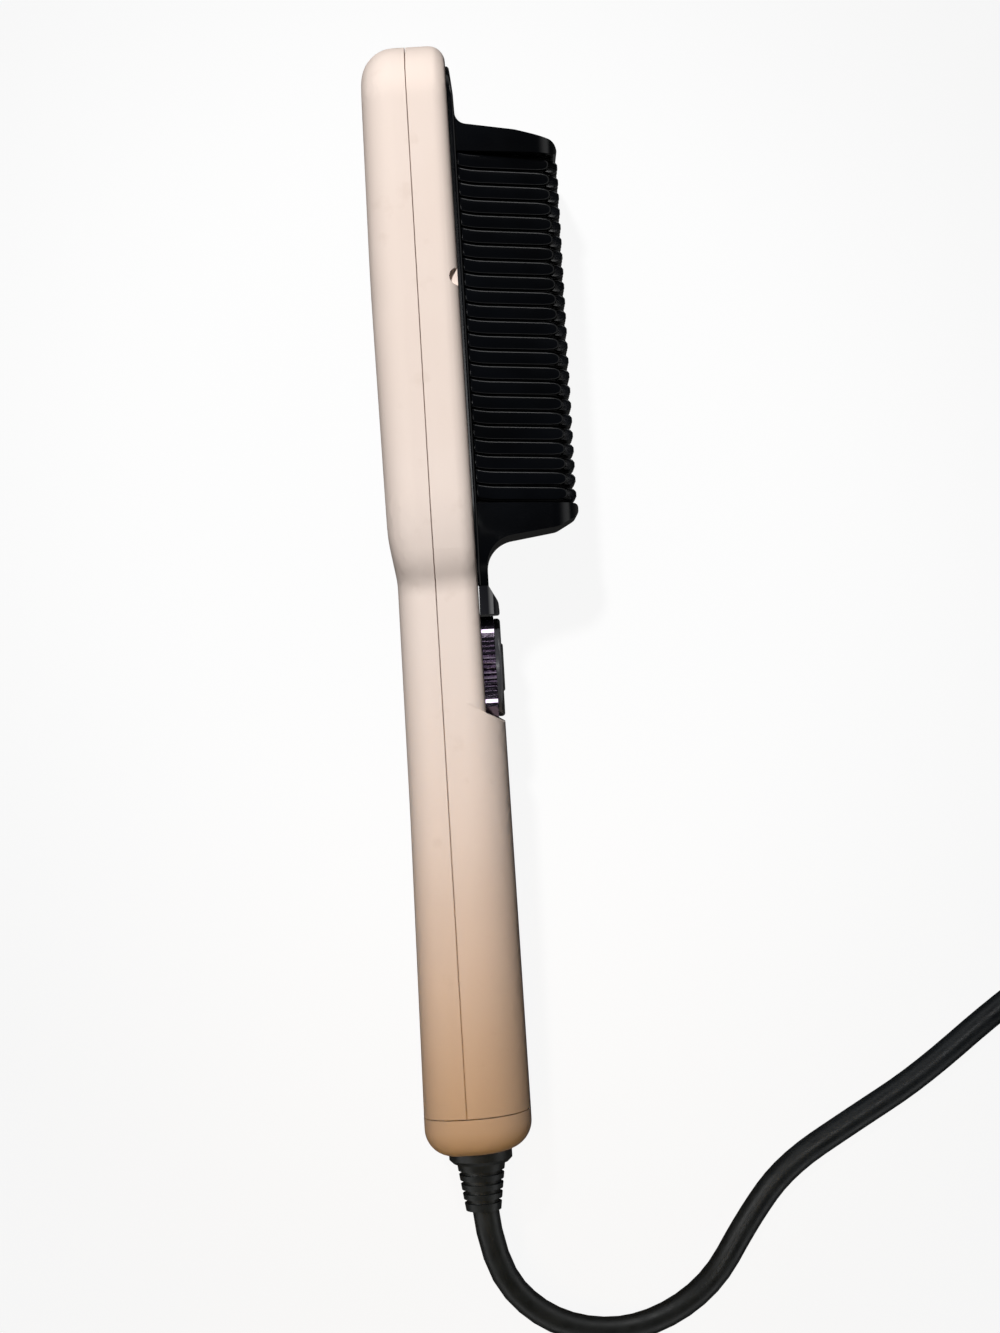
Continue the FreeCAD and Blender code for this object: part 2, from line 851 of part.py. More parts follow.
def make_display_lens():
    side = side_prism(
        [
            (frame_back, lens_top_from_top, 0),
            (neck_front, lens_top_from_top, lens_edge_radius),
            (lens_brow_x, lens_brow_from_top, lens_brow_radius),
            (lens_front, lens_end_from_top, lens_edge_radius),
            (frame_back, lens_end_from_top, 0),
        ],
        head_half_width,
    )
    half_width = half_width_at(lens_end_from_top) - frame_rim
    lowest_y = y_at(lens_end_from_top)
    across = prism(
        [
            (Vector(frame_back, lowest_y, mid_z - half_width), 0),
            (Vector(lens_front, lowest_y, mid_z - half_width), lens_side_radius),
            (Vector(lens_front, lowest_y, mid_z + half_width), lens_side_radius),
            (Vector(frame_back, lowest_y, mid_z + half_width), 0),
        ],
        Vector(0, lens_end_from_top - lens_top_from_top, 0),
    )
    return side.common(across).Solids[0]


def make_display_module():
    top = lens_top_from_top + display_margin
    end = lens_end_from_top - frame_ledge - display_margin
    return block(board_front, frame_back - travel_room, top, end, display_half_width)


def make_control_board():
    board = block(board_back, board_front, board_top_from_top, board_end_from_top, board_half_width)
    for d, z in board_spots():
        hole = round_bar(board_back - overrun, board_front + overrun, board_screw_radius + fit, d, z)
        board = board.cut(hole)
    return board


def board_piece(height, from_top, length, half_width, side):
    piece = block(board_front, board_front + height, from_top, from_top + length, half_width, side)
    return piece.makeFillet(part_edge, rim_edges(piece, 1, -reach_x - cap_end_from_top))


def make_mains_leads(base_top_from_top):
    length = base_top_from_top - board_end_from_top
    leads = []
    for side in (-lead_side, lead_side):
        start = Vector(board_mid_x, y_at(base_top_from_top), mid_z + side)
        leads.append(Part.makeCylinder(lead_radius, length, start, Vector(0, 1, 0)))
    return Part.makeCompound(leads)


def make_heater_leads():
    heater_x = (heater_back + flange_back) / 2
    places = (
        (board_mid_x, board_top_from_top),
        (board_mid_x, lead_bend_first_from_top),
        (heater_x, lead_bend_second_from_top),
        (heater_x, heater_end_from_top),
    )
    leads = []
    for side in (-lead_side, lead_side):
        points = [Vector(x, y_at(from_top), mid_z + side) for x, from_top in places]
        edges = rounded_path(points, [lead_bend_radius, lead_bend_radius])
        leads.append(tube(edges, lead_radius))
    return Part.makeCompound(leads)


# End cap and swivel


def end_section(inset, from_top):
    """The handle's outline across its end, drawn in by inset."""
    half = grip_half_width - inset
    back = inset - back_depth_end
    front = grip_front_end - inset
    y = y_at(from_top)
    return rounded_wire([
        (Vector(back, y, mid_z - half), back_edge_radius - inset),
        (Vector(front, y, mid_z - half), grip_edge_radius_end - inset),
        (Vector(front, y, mid_z + half), grip_edge_radius_end - inset),
        (Vector(back, y, mid_z + half), back_edge_radius - inset),
    ])


def end_block(inset, top_from_top, end_from_top):
    return Part.Face(end_section(inset, top_from_top)).extrude(Vector(0, top_from_top - end_from_top, 0))


def round_low_edges(solid, end_from_top, radius):
    edges = [e for e in solid.Edges if e.BoundBox.YMax < y_at(end_from_top) + tolerance]
    return solid.makeFillet(radius, edges)


def make_end_cap():
    top = handle_end_from_top + seam_gap
    spigot_top = handle_end_from_top - spigot_length
    floor_from_top = cap_end_from_top - cap_floor
    cap = round_low_edges(end_block(0, top, cap_end_from_top), cap_end_from_top, cap_edge_radius)
    spigot = end_block(wall + fit, spigot_top, top)
    room = end_block(wall + fit + spigot_wall, spigot_top - overrun, floor_from_top)
    room = round_low_edges(room, floor_from_top, cap_inner_radius)
    cap = joined([cap, spigot]).cut(room)
    hole_start = Vector(swivel_x, y_at(top), mid_z)
    hole_radius = swivel_neck_radius + running_fit
    return cap.cut(Part.makeCylinder(hole_radius, cap_length + overrun, hole_start, Vector(0, -1, 0)))


def make_swivel_base():
    spigot_top = handle_end_from_top - spigot_length
    return end_block(wall + fit, spigot_top - base_thickness, spigot_top)


def make_contact_rings():
    low_from_top = handle_end_from_top - spigot_length
    rings = []
    for radius in (outer_contact_radius, inner_contact_radius):
        rings.append(
            turned_along_y([
                (radius - contact_width, low_from_top),
                (radius, low_from_top),
                (radius, low_from_top + contact_thickness),
                (radius - contact_width, low_from_top + contact_thickness),
            ])
        )
    return Part.makeCompound(rings)


def make_strain_relief():
    bore = cord_radius + running_fit
    top = handle_end_from_top - spigot_length + contact_thickness + swivel_gap
    floor_top = cap_end_from_top - cap_floor
    collar_top = cap_end_from_top + swivel_gap
    collar_end = cap_end_from_top + collar_length
    relief_end = cap_end_from_top + relief_length
    solid = turned_along_y([
        (bore, top),
        (swivel_flange_radius, top),
        (swivel_flange_radius, floor_top - swivel_gap),
        (swivel_neck_radius, floor_top - swivel_gap),
        (swivel_neck_radius, collar_top),
        (collar_radius, collar_top),
        (collar_radius, collar_end - collar_edge),
        (collar_radius - collar_edge, collar_end),
        (relief_start_radius, collar_end),
        (relief_end_radius, relief_end),
        (bore, relief_end),
    ])
    pitch = (relief_length - collar_length) / (relief_slot_count + 1)
    for number in range(relief_slot_count):
        slot_top = collar_end + pitch * (number + 1) - relief_slot_width / 2
        share = (slot_top - collar_end) / (relief_end - collar_end)
        outer = relief_start_radius + (relief_end_radius - relief_start_radius) * share
        inner = max(outer - relief_slot_depth, bore + fit * 2)
        solid = solid.cut(
            turned_along_y([
                (inner, slot_top),
                (outer + overrun, slot_top),
                (outer + overrun, slot_top + relief_slot_width),
                (inner, slot_top + relief_slot_width),
            ])
        )
    return solid


# Tubes along straight runs and tangent arcs


def rounded_path(points, radii):
    edges = []
    start = points[0]
    for before, corner, after, radius in zip(points, points[1:], points[2:], radii):
        first, middle, last = corner_arc(before, corner, after, radius)
        edges.append(Part.LineSegment(start, first).toShape())
        edges.append(Part.Arc(first, middle, last).toShape())
        start = last
    edges.append(Part.LineSegment(start, points[-1]).toShape())
    return edges


def route_radii(points):
    radii = []
    for before, corner, after in zip(points, points[1:], points[2:]):
        turn = (corner - before).getAngle(after - corner)
        shorter = min((corner - before).Length, (after - corner).Length)
        radii.append(arc_share * shorter / math.tan(turn / 2))
    return radii


def tube(edges, radius):
    wire = Part.Wire(edges)
    start = edges[0].valueAt(edges[0].FirstParameter)
    heading = edges[0].tangentAt(edges[0].FirstParameter)
    section = Part.Wire([Part.makeCircle(radius, start, heading)])
    return wire.makePipeShell([section], True, False)


def report_tube(name, solid, edges):
    length = sum(edge.Length for edge in edges)
    section = math.pi * cord_radius ** 2
    ratio = solid.Volume / section / length
    print(f"{name}: length {length:.1f} mm, volume over section times length {ratio:.4f}")


def make_power_cord():
    points = [Vector(*place) for place in cord_route]
    radii = route_radii(points)
    print("cord bend radii, mm:", ", ".join(f"{radius:.1f}" for radius in radii))
    edges = rounded_path(points, radii)
    solid = tube(edges, cord_radius)
    report_tube("power_cord", solid, edges)
    return solid


# Coil: it spirals in on the floor, climbs a layer in half a turn and spirals out again


def coil_place(turn):
    """A point of the coil about its own centre, with the first point on +Y and the winding clockwise."""
    climb = min(max(turn - coil_layer_turns, 0), coil_climb_turns) / coil_climb_turns
    inwards = min(turn, coil_layer_turns)
    outwards = max(turn - coil_layer_turns - coil_climb_turns, 0)
    radius = coil_outer - coil_step * (inwards - outwards)
    height = coil_layer_pitch * (1 - math.cos(math.pi * climb)) / 2
    angle = math.pi / 2 - turn * 2 * math.pi
    return Vector(radius * math.cos(angle), radius * math.sin(angle), height)


def coil_heading(turn):
    small_share = 1 / gap_points_per_turn
    ahead = min(turn + small_share, coil_turns)
    behind = max(turn - small_share, 0)
    heading = coil_place(ahead) - coil_place(behind)
    if turn in (0, coil_turns):
        heading.z = 0
    return heading.normalize()


def coil_frame():
    """The turn and shift that set the coil on the end of the cord's route."""
    end = Vector(*cord_route[-1])
    along = (end - Vector(*cord_route[-2])).normalize()
    start_heading = coil_heading(0)
    turn = math.degrees(math.atan2(along.y, along.x) - math.atan2(start_heading.y, start_heading.x))
    rotation = FreeCAD.Rotation(Vector(0, 0, 1), turn)
    shift = end + along * cord_diameter - rotation.multVec(coil_place(0))
    return FreeCAD.Placement(shift, rotation)


def biarc(start, start_heading, end, end_heading):
    across = end - start
    bend = 2 * (1 - start_heading.dot(end_heading))
    along = across.dot(start_heading + end_heading)
    reach = (math.sqrt(along ** 2 + bend * across.dot(across)) - along) / bend
    first_corner = start + start_heading * reach
    second_corner = end - end_heading * reach
    joint = (first_corner + second_corner) / 2
    arcs = []
    for a, corner, b in ((start, first_corner, joint), (joint, second_corner, end)):
        half_angle = (a - corner).getAngle(b - corner) / 2
        radius = reach * math.tan(half_angle)
        arcs.append(Part.Arc(*corner_arc(a, corner, b, radius)).toShape())
    return arcs


def coil_path():
    frame = coil_frame()
    count = math.ceil(coil_turns * coil_steps_per_turn)
    turns = [coil_turns * number / count for number in range(count + 1)]
    places = [frame.multVec(coil_place(turn)) for turn in turns]
    headings = [frame.Rotation.multVec(coil_heading(turn)) for turn in turns]
    edges = [Part.LineSegment(places[0] - headings[0] * cord_diameter, places[0]).toShape()]
    for index in range(count):
        edges += biarc(places[index], headings[index], places[index + 1], headings[index + 1])
    edges.append(Part.LineSegment(places[-1], places[-1] + headings[-1] * coil_tail).toShape())
    return edges, headings[-1]


def report_coil_gap(edges):
    points = []
    for edge in edges[1:-1]:
        points += edge.discretize(gap_points_per_turn // coil_steps_per_turn // 2 + 1)[:-1]
    points += edges[-1].discretize(gap_points_per_turn // coil_steps_per_turn)
    apart = gap_points_per_turn // 2
    pairs = ((a, b) for index, a in enumerate(points) for b in points[index + apart:])
    least = min(a.distanceToPoint(b) for a, b in pairs)
    print(f"coil least gap to itself, mm: {least - cord_diameter:.2f}")


def make_cord_coil(edges):
    solid = tube(edges, cord_radius)
    report_tube("cord_coil", solid, edges)
    report_coil_gap(edges)
    return solid


def make_coil_tie():
    frame = coil_frame()
    low_z = -cord_route[-1][2]
    passes = range(math.floor(coil_turns - tie_turn_share) + 1)
    radii = [coil_place(tie_turn_share + number) for number in passes]
    radii = [math.hypot(place.x, place.y) for place in radii]
    inner_x = min(radii) - cord_radius - tie_slack
    outer_x = max(radii) + cord_radius + tie_slack
    top_z = coil_layer_pitch + cord_radius + fit

    def loop(grown, corner_radius, run):
        corners = [
            (Vector(inner_x - grown, -run / 2, low_z + tie_thickness - grown), corner_radius),
            (Vector(outer_x + grown, -run / 2, low_z + tie_thickness - grown), corner_radius),
            (Vector(outer_x + grown, -run / 2, top_z + grown), corner_radius),
            (Vector(inner_x - grown, -run / 2, top_z + grown), corner_radius),
        ]
        return prism(corners, Vector(0, run, 0))

    band = loop(tie_thickness, tie_corner + tie_thickness, tie_width)
    band = band.cut(loop(0, tie_corner, tie_width + overrun))
    band.rotate(Vector(0, 0, 0), Vector(0, 0, 1), 90 - 360 * tie_turn_share)
    band.Placement = frame.multiply(band.Placement)
    return band


# Plug


def plug_frame(coil_edges, heading):
    """Plug lengths run along the placement's X axis from the end of the coil's tail."""
    end = coil_edges[-1].valueAt(coil_edges[-1].LastParameter)
    turn = math.degrees(math.atan2(heading.y, heading.x))
    return FreeCAD.Placement(end, FreeCAD.Rotation(Vector(0, 0, 1), turn)), end.z


def make_plug_body(placement, half_height):
    body_end = plug_relief_length + plug_length
    relief = Part.makeCone(
        cord_radius + part_edge, plug_relief_radius, plug_relief_length, Vector(0, 0, 0), Vector(1, 0, 0)
    )
    half = plug_thickness / 2
    corners = [
        (Vector(plug_relief_length, -half, -half_height), plug_edge),
        (Vector(plug_relief_length, half, -half_height), plug_edge),
        (Vector(plug_relief_length, half, half_height), plug_edge),
        (Vector(plug_relief_length, -half, half_height), plug_edge),
    ]
    body = prism(corners, Vector(plug_length, 0, 0))
    face_edges = [e for e in body.Edges if e.BoundBox.XMin > body_end - tolerance]
    body = body.makeFillet(plug_face_edge, face_edges)
    back_edges = [e for e in body.Edges if e.BoundBox.XMax < plug_relief_length + tolerance]
    body = body.makeChamfer(plug_edge - part_edge, back_edges)
    plug = joined([body, relief])
    plug.Placement = placement
    return plug


def make_plug_blades(placement):
    start_x = plug_relief_length + plug_length
    blades = []
    for side in (-blade_spacing / 2, blade_spacing / 2):
        corners = [
            (Vector(start_x, -blade_thickness / 2, side - blade_width / 2), 0),
            (Vector(start_x + blade_length, -blade_thickness / 2, side - blade_width / 2), blade_tip),
            (Vector(start_x + blade_length, -blade_thickness / 2, side + blade_width / 2), blade_tip),
            (Vector(start_x, -blade_thickness / 2, side + blade_width / 2), 0),
        ]
        blades.append(prism(corners, Vector(0, blade_thickness, 0)))
    group = Part.makeCompound(blades)
    group.Placement = placement
    return group


# Every node


def make_parts():
    body = body_form(0, handle_end_from_top)
    hollow = body_form(wall, handle_end_from_top + overrun)
    coil_edges, tail_heading = coil_path()
    placement, plug_height = plug_frame(coil_edges, tail_heading)
    base_top = handle_end_from_top - spigot_length - base_thickness
    parts = {
        "back_shell": make_back_shell(body, hollow),
        "front_shell": make_front_shell(body, hollow),
        "end_cap": make_end_cap(),
        "comb_frame": make_comb_frame(),
        "heat_plate": make_heat_plate(),
        "heat_screws": make_heat_screws(),
        "upper_heater": make_heater(heater_top_from_top),
        "lower_heater": make_heater(heater_top_from_top + heater_length + heater_gap),
        "mica_sheet": make_mica(),
        "heater_clamp": make_clamp(),
        "thermal_fuse": make_fuse(),
        "thermistor": make_thermistor(),
        "heat_shield": make_heat_shield(),
        "shield_screws": Part.makeCompound(
            [screw_at(shield_front, shield_thickness, d, z) for d, z in shield_spots()]
        ),
        "display_lens": make_display_lens(),
        "display_module": make_display_module(),
        "control_board": make_control_board(),
        "board_screws": Part.makeCompound(
            [screw_at(board_front, board_thickness, d, z) for d, z in board_spots()]
        ),
        "filter_capacitor": board_piece(
            capacitor_height, capacitor_from_top, capacitor_length, capacitor_half_width, capacitor_side
        ),
        "heater_triac": board_piece(
            triac_height, capacitor_from_top, triac_length, triac_half_width, -capacitor_side
        ),
        "dial_encoder": make_encoder(),
        "tact_switch": make_tact_switch(),
        "switch_plunger": make_switch_plunger(),
        "dial_ring": make_dial_ring(),
        "dial_cap": make_dial_cap(),
        "power_button": make_power_button(),
        "mains_leads": make_mains_leads(base_top),
        "heater_leads": make_heater_leads(),
        "swivel_base": make_swivel_base(),
        "contact_rings": make_contact_rings(),
        "strain_relief": make_strain_relief(),
        "power_cord": make_power_cord(),
        "cord_coil": make_cord_coil(coil_edges),
        "coil_tie": make_coil_tie(),
        "plug_body": make_plug_body(placement, plug_height),
        "plug_blades": make_plug_blades(placement),
    }
    row = make_tooth_row()
    for number in range(row_count):
        placed = row.copy()
        placed.translate(Vector(0, -row_pitch * number, 0))
        parts[f"tooth_row_{number + 1:02d}"] = placed
    return parts


os.makedirs("parts", exist_ok=True)
for name, shape in make_parts().items():
    shape.exportStep(f"parts/{name}.step")
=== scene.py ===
import json
import math

import bmesh
import bpy
from mathutils import Matrix, Vector

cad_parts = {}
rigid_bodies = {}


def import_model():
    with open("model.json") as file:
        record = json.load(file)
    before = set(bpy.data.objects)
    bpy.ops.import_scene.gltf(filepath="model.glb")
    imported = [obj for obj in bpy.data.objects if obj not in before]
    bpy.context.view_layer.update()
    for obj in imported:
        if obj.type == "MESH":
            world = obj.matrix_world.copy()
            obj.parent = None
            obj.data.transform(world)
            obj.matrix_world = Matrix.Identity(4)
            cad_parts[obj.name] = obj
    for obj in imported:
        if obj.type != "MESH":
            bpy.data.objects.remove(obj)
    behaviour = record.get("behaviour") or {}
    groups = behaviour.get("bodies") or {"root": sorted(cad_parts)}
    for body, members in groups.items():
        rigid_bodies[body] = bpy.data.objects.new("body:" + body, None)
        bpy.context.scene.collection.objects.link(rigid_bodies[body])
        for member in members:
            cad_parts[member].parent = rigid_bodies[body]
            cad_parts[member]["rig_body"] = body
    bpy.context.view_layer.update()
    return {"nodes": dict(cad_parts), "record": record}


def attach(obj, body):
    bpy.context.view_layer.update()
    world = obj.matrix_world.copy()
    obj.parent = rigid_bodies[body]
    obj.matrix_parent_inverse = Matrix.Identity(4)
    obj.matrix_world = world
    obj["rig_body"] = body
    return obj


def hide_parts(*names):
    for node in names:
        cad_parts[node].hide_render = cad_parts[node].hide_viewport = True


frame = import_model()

# The looks of a hair straightening brush that lies on its side. Lengths are in metres.
# +X is the way the teeth point, +Y runs to the top of the head, and the floor is Z = 0.

nodes = frame["nodes"]

# Camera straight above the brush
camera_place = (0.0158, -0.1003, 0.7500)
camera_roll_degrees = -3.35
camera_lens = 71.7
camera_sensor = 36.0

# Fill light from all round, and what the camera and shiny pieces see behind the object
white = (1.0, 1.0, 1.0)
fill_colour = (0.036, 0.035, 0.034)
ceiling_colour = (0.035, 0.036, 0.040)
backdrop_low = 0.28
backdrop_high = 0.60
floor_half_size = 4.0
floor_base = (0.06, 0.06, 0.06)
floor_seen = 0.92
floor_reflected = 0.02

# Spot lamps: name, place, target, size across, watts, colour, degrees of the cone and softness of its edge
spot_lamps = (
    ("pool_lamp", (-0.228, 0.704, 1.365), (0.0, -0.022, 0.04), 0.12, 112.0, white, 12.6, 0.57),
    ("glow_lamp", (-0.04, -0.235, 0.42), (0.0, -0.246, 0.04), 0.12, 2.25, (1.0, 0.57, 0.16), 36.0, 0.6),
)

# Lamps that only glint on shiny pieces: name, place, target, size across and watts
glint_lamps = (
    ("edge_lamp", (-0.50, -0.10, 0.52), (0.01, -0.10, 0.03), 0.15, 1.7),
    ("comb_lamp", (0.45, 0.62, 0.55), (0.03, 0.0, 0.05), 0.30, 1.2),
    ("top_lamp", (0.0, -0.02, 1.05), (0.013, -0.10, 0.04), 0.24, 1.0),
)

# Colours of the finishes
blush = (0.80, 0.678, 0.605)
blush_dull = (0.785, 0.660, 0.585)
blush_bright = (0.815, 0.696, 0.625)
blush_mark = (0.955, 0.945, 0.935)
comb_black = (0.0012, 0.0015, 0.0021)
plate_black = (0.010, 0.010, 0.011)
housing_black = (0.020, 0.020, 0.021)
plating = (0.24, 0.19, 0.26)
plating_dark = (0.20, 0.16, 0.22)
plating_light = (0.28, 0.23, 0.30)
dial_face = (0.035, 0.035, 0.039)
lens_black = (0.010, 0.010, 0.012)
lens_clear = (0.007, 0.007, 0.009)
lens_haze = (0.014, 0.014, 0.017)
sheath = (0.011, 0.016, 0.021)
sheath_dark = (0.007, 0.011, 0.015)
sheath_light = (0.016, 0.023, 0.030)
no_scuff = (0.0, 0.0, 0.0)
sheath_scuff = (0.025, 0.027, 0.030)
strap = (0.02, 0.02, 0.022)
strap_thread = (0.030, 0.030, 0.033)
strap_gap = (0.009, 0.009, 0.010)
fuzz_low = (0.6, 0.6, 0.6)
fuzz_high = (1.3, 1.3, 1.3)
resist = (0.02, 0.16, 0.07)
resist_dark = (0.015, 0.13, 0.055)
resist_light = (0.02, 0.15, 0.065)
copper_run = (0.06, 0.27, 0.12)
steel = (0.62, 0.62, 0.63)
aluminium = (0.80, 0.80, 0.81)
brass = (0.70, 0.57, 0.30)
ceramic = (0.80, 0.78, 0.73)
ceramic_dull = (0.70, 0.67, 0.62)
mica_brown = (0.62, 0.47, 0.26)
mica_pale = (0.74, 0.60, 0.38)
capacitor_yellow = (0.72, 0.55, 0.09)
capacitor_dull = (0.64, 0.47, 0.07)
lead_red = (0.45, 0.035, 0.025)
lead_dull = (0.38, 0.03, 0.02)

# Depths of the bumps in the finishes
blush_grain_depth = 0.00004
flow_mark_depth = 0.00003
brushed_line_depth = 0.00001
plating_grain_depth = 0.00001
turned_ring_depth = 0.00001
sheath_grain_depth = 0.00006
weave_depth = 0.0001
mottle_depth = 0.00004
copper_run_depth = 0.00002

# Noise mostly lies between these values
grain_low = 0.3
grain_high = 0.7

# A Mix node's sockets for colours, by number, because its other sockets have the same names
mix_factor, mix_first, mix_second, mix_result = 0, 6, 7, 2

# Skins: CAD nodes that are shown as merged and smoothly shaded copies
skinned_nodes = (
    "back_shell",
    "front_shell",
    "end_cap",
    "comb_frame",
    "display_lens",
    "dial_cap",
    "power_button",
    "strain_relief",
)
merge_distance = 0.000002
skin_crease_degrees = 30.0
edge_segments = 3

# Tooth rows: a station is (height above the tooth's root, half thickness)
middle_z = 0.028
first_row_y = 0.0333
row_pitch = 0.0040
tooth_root_x = 0.0122
tooth_middle_x = 0.0256
tooth_tilt = 0.045
tooth_curl = 0.0006
tooth_curl_run = 0.0055
tooth_crease_degrees = 50.0
fin_stations = (
    (0.0000, 0.00180),
    (0.0012, 0.00178),
    (0.0024, 0.00177),
    (0.0038, 0.00176),
    (0.0056, 0.00175),
    (0.0208, 0.00170),
    (0.0228, 0.00152),
    (0.0238, 0.00112),
    (0.0243, 0.00050),
)
fin_side = 0.0179
fin_width = 0.0052
fin_tip_width = 0.0036
fin_edge = 0.00045
fin_lean = 0.0065
tooth_stations = (
    (0.0000, 0.00160),
    (0.0180, 0.00128),
    (0.0219, 0.00115),
    (0.0232, 0.00145),
    (0.0244, 0.00172),
    (0.0254, 0.00172),
    (0.0263, 0.00125),
    (0.0268, 0.00060),
)
tooth_count = 4
tooth_pitch = 0.0052
tooth_width = 0.0028
tooth_tip_width = 0.0024
tooth_edge = 0.00040
bar_stations = ((0.0000, 0.00178), (0.0046, 0.00170))

# Dial ring: a turned core, given as (x, radius), with ribs round it
dial_centre = (0.0, -0.1005, 0.0280)
ring_profile = (
    (0.0042, 0.00460),
    (0.0042, 0.00600),
    (0.0110, 0.00600),
    (0.0110, 0.01305),
    (0.0112, 0.01330),
    (0.0146, 0.01330),
    (0.0148, 0.01310),
    (0.0148, 0.00655),
    (0.0139, 0.00655),
    (0.0139, 0.00205),
    (0.0090, 0.00205),
    (0.0090, 0.00460),
)
ring_steps = 120
ring_crease_degrees = 40.0
rib_count = 60
rib_middle_x = 0.0129
rib_length = 0.0037
rib_root_radius = 0.0133
rib_top_radius = 0.0140
rib_root_width = 0.00146
rib_top_width = 0.00004
rib_edge = 0.000012
rib_crease_degrees = 50.0

# Cord: the route on the floor, then a coil of two layers and a straight tail to the plug
cord_diameter = 0.0072
cord_route = (
    (0.0028, -0.2365, 0.0280),
    (0.0028, -0.2605, 0.0280),
    (0.0174, -0.2800, 0.0244),
    (0.0408, -0.2870, 0.0150),
    (0.0637, -0.2785, 0.0066),
    (0.0768, -0.2584, 0.0036),
    (0.0880, -0.2448, 0.0036),
    (0.1075, -0.2332, 0.0036),
    (0.1265, -0.2223, 0.0036),
    (0.1500, -0.2040, 0.0036),
    (0.1720, -0.1896, 0.0046),
    (0.1930, -0.1840, 0.0046),
)
cord_curve_order = 3
cord_curve_steps = 5
cord_round_steps = 6
coil_centre = (0.21772, -0.23404, 0.0046)
coil_turn_degrees = 18.895
coil_mean_radius = 0.042
coil_step = 0.0088
coil_layer_turns = 2.92
coil_climb_turns = 0.5
coil_layer_pitch = 0.0079
coil_points_per_turn = 24
coil_tail = 0.034
tail_shares = (0.35, 1.0)
plug_heading_degrees = -99.542

# Tie round the coil, with its free end as a tab
tie_turn_share = 0.42
tie_width = 0.0090
tie_thickness = 0.0008
tie_corner = 0.0024
tie_corner_segments = 6
tie_slack = 0.0007
tie_top = 0.0167
tie_crease_degrees = 40.0
tab_length = 0.0150
tab_edge = tie_thickness / 3

# Plug at the cord's end: lengths go from the cord's end towards the blades
plug_relief_length = 0.0140
plug_length = 0.0260
plug_middle_x = plug_relief_length + plug_length / 2
plug_thickness = 0.0190
plug_height = 0.0250
plug_edge = 0.0040
plug_edge_segments = 5
plug_back_edge = 0.0035
plug_face_edge = 0.0010
plug_rim_segments = 4
plug_rim_share = 0.49
plug_crease_degrees = 40.0
grip_bar_count = 5
grip_bar_pitch = 0.0032
grip_bar_size = (0.0016, 0.0012, 0.0130)
grip_bar_edge = 0.00045
relief_steps = 40
relief_ring_count = 5
relief_ring_share = 0.62
relief_groove_depth = 0.0009
relief_start_radius = 0.0041
relief_end_radius = 0.0060
relief_bore = 0.0030


# Node helpers for the finishes


def opaque(colour):
    return (*colour, 1.0)


def toned(colour, share):
    return tuple(part * share for part in colour)


def new_finish(name, colour, roughness, metallic=0.0):
    material = bpy.data.materials.new(name)
    material.use_nodes = True
    shader = material.node_tree.nodes["Principled BSDF"]
    shader.inputs["Base Color"].default_value = opaque(colour)
    shader.inputs["Roughness"].default_value = roughness
    shader.inputs["Metallic"].default_value = metallic
    return material, material.node_tree, shader


def object_place(tree, stretch=None, shift=(0.0, 0.0, 0.0)):
    place = tree.nodes.new("ShaderNodeTexCoord").outputs["Object"]
    if stretch is None:
        return place
    mapping = tree.nodes.new("ShaderNodeMapping")
    mapping.vector_type = "POINT"
    mapping.inputs["Scale"].default_value = stretch
    mapping.inputs["Location"].default_value = shift
    tree.links.new(place, mapping.inputs["Vector"])
    return mapping.outputs["Vector"]


def grain(tree, per_metre, detail, stretch=None):
    texture = tree.nodes.new("ShaderNodeTexNoise")
    texture.inputs["Scale"].default_value = per_metre
    texture.inputs["Detail"].default_value = detail
    tree.links.new(object_place(tree, stretch), texture.inputs["Vector"])
    return texture.outputs["Fac"]


def ramp(tree, value, stops):
    """A colour that follows value through stops of (position, colour)."""
    node = tree.nodes.new("ShaderNodeValToRGB")
    for element, (position, colour) in zip(node.color_ramp.elements, stops):
        element.position = position
        element.color = opaque(colour)
    tree.links.new(value, node.inputs["Fac"])
    return node.outputs["Color"]


def spread(tree, value, low, high):
    """A pattern spread over a range of roughness."""
    node = tree.nodes.new("ShaderNodeMapRange")
    node.inputs["From Min"].default_value = grain_low
    node.inputs["From Max"].default_value = grain_high
    node.inputs["To Min"].default_value = low
    node.inputs["To Max"].default_value = high
    tree.links.new(value, node.inputs["Value"])
    return node.outputs["Result"]


def mixed(tree, factor, first, second, way="MIX"):
    """Two colours mixed, where each of the three values is a constant or another node's output."""
    node = tree.nodes.new("ShaderNodeMix")
    node.data_type = "RGBA"
    node.blend_type = way
    for number, value in ((mix_factor, factor), (mix_first, first), (mix_second, second)):
        if hasattr(value, "is_output"):
            tree.links.new(value, node.inputs[number])
        else:
            node.inputs[number].default_value = value
    return node.outputs[mix_result]


def bumped(tree, shader, height, depth, strength):
    node = tree.nodes.new("ShaderNodeBump")
    node.inputs["Strength"].default_value = strength
    node.inputs["Distance"].default_value = depth
    tree.links.new(height, node.inputs["Height"])
    tree.links.new(node.outputs["Normal"], shader.inputs["Normal"])


def dressed(tree, shader, colour=None, roughness=None):
    """Patterns in place of the shader's plain colour and plain roughness."""
    if colour is not None:
        tree.links.new(colour, shader.inputs["Base Color"])
    if roughness is not None:
        tree.links.new(roughness, shader.inputs["Roughness"])


# Finishes


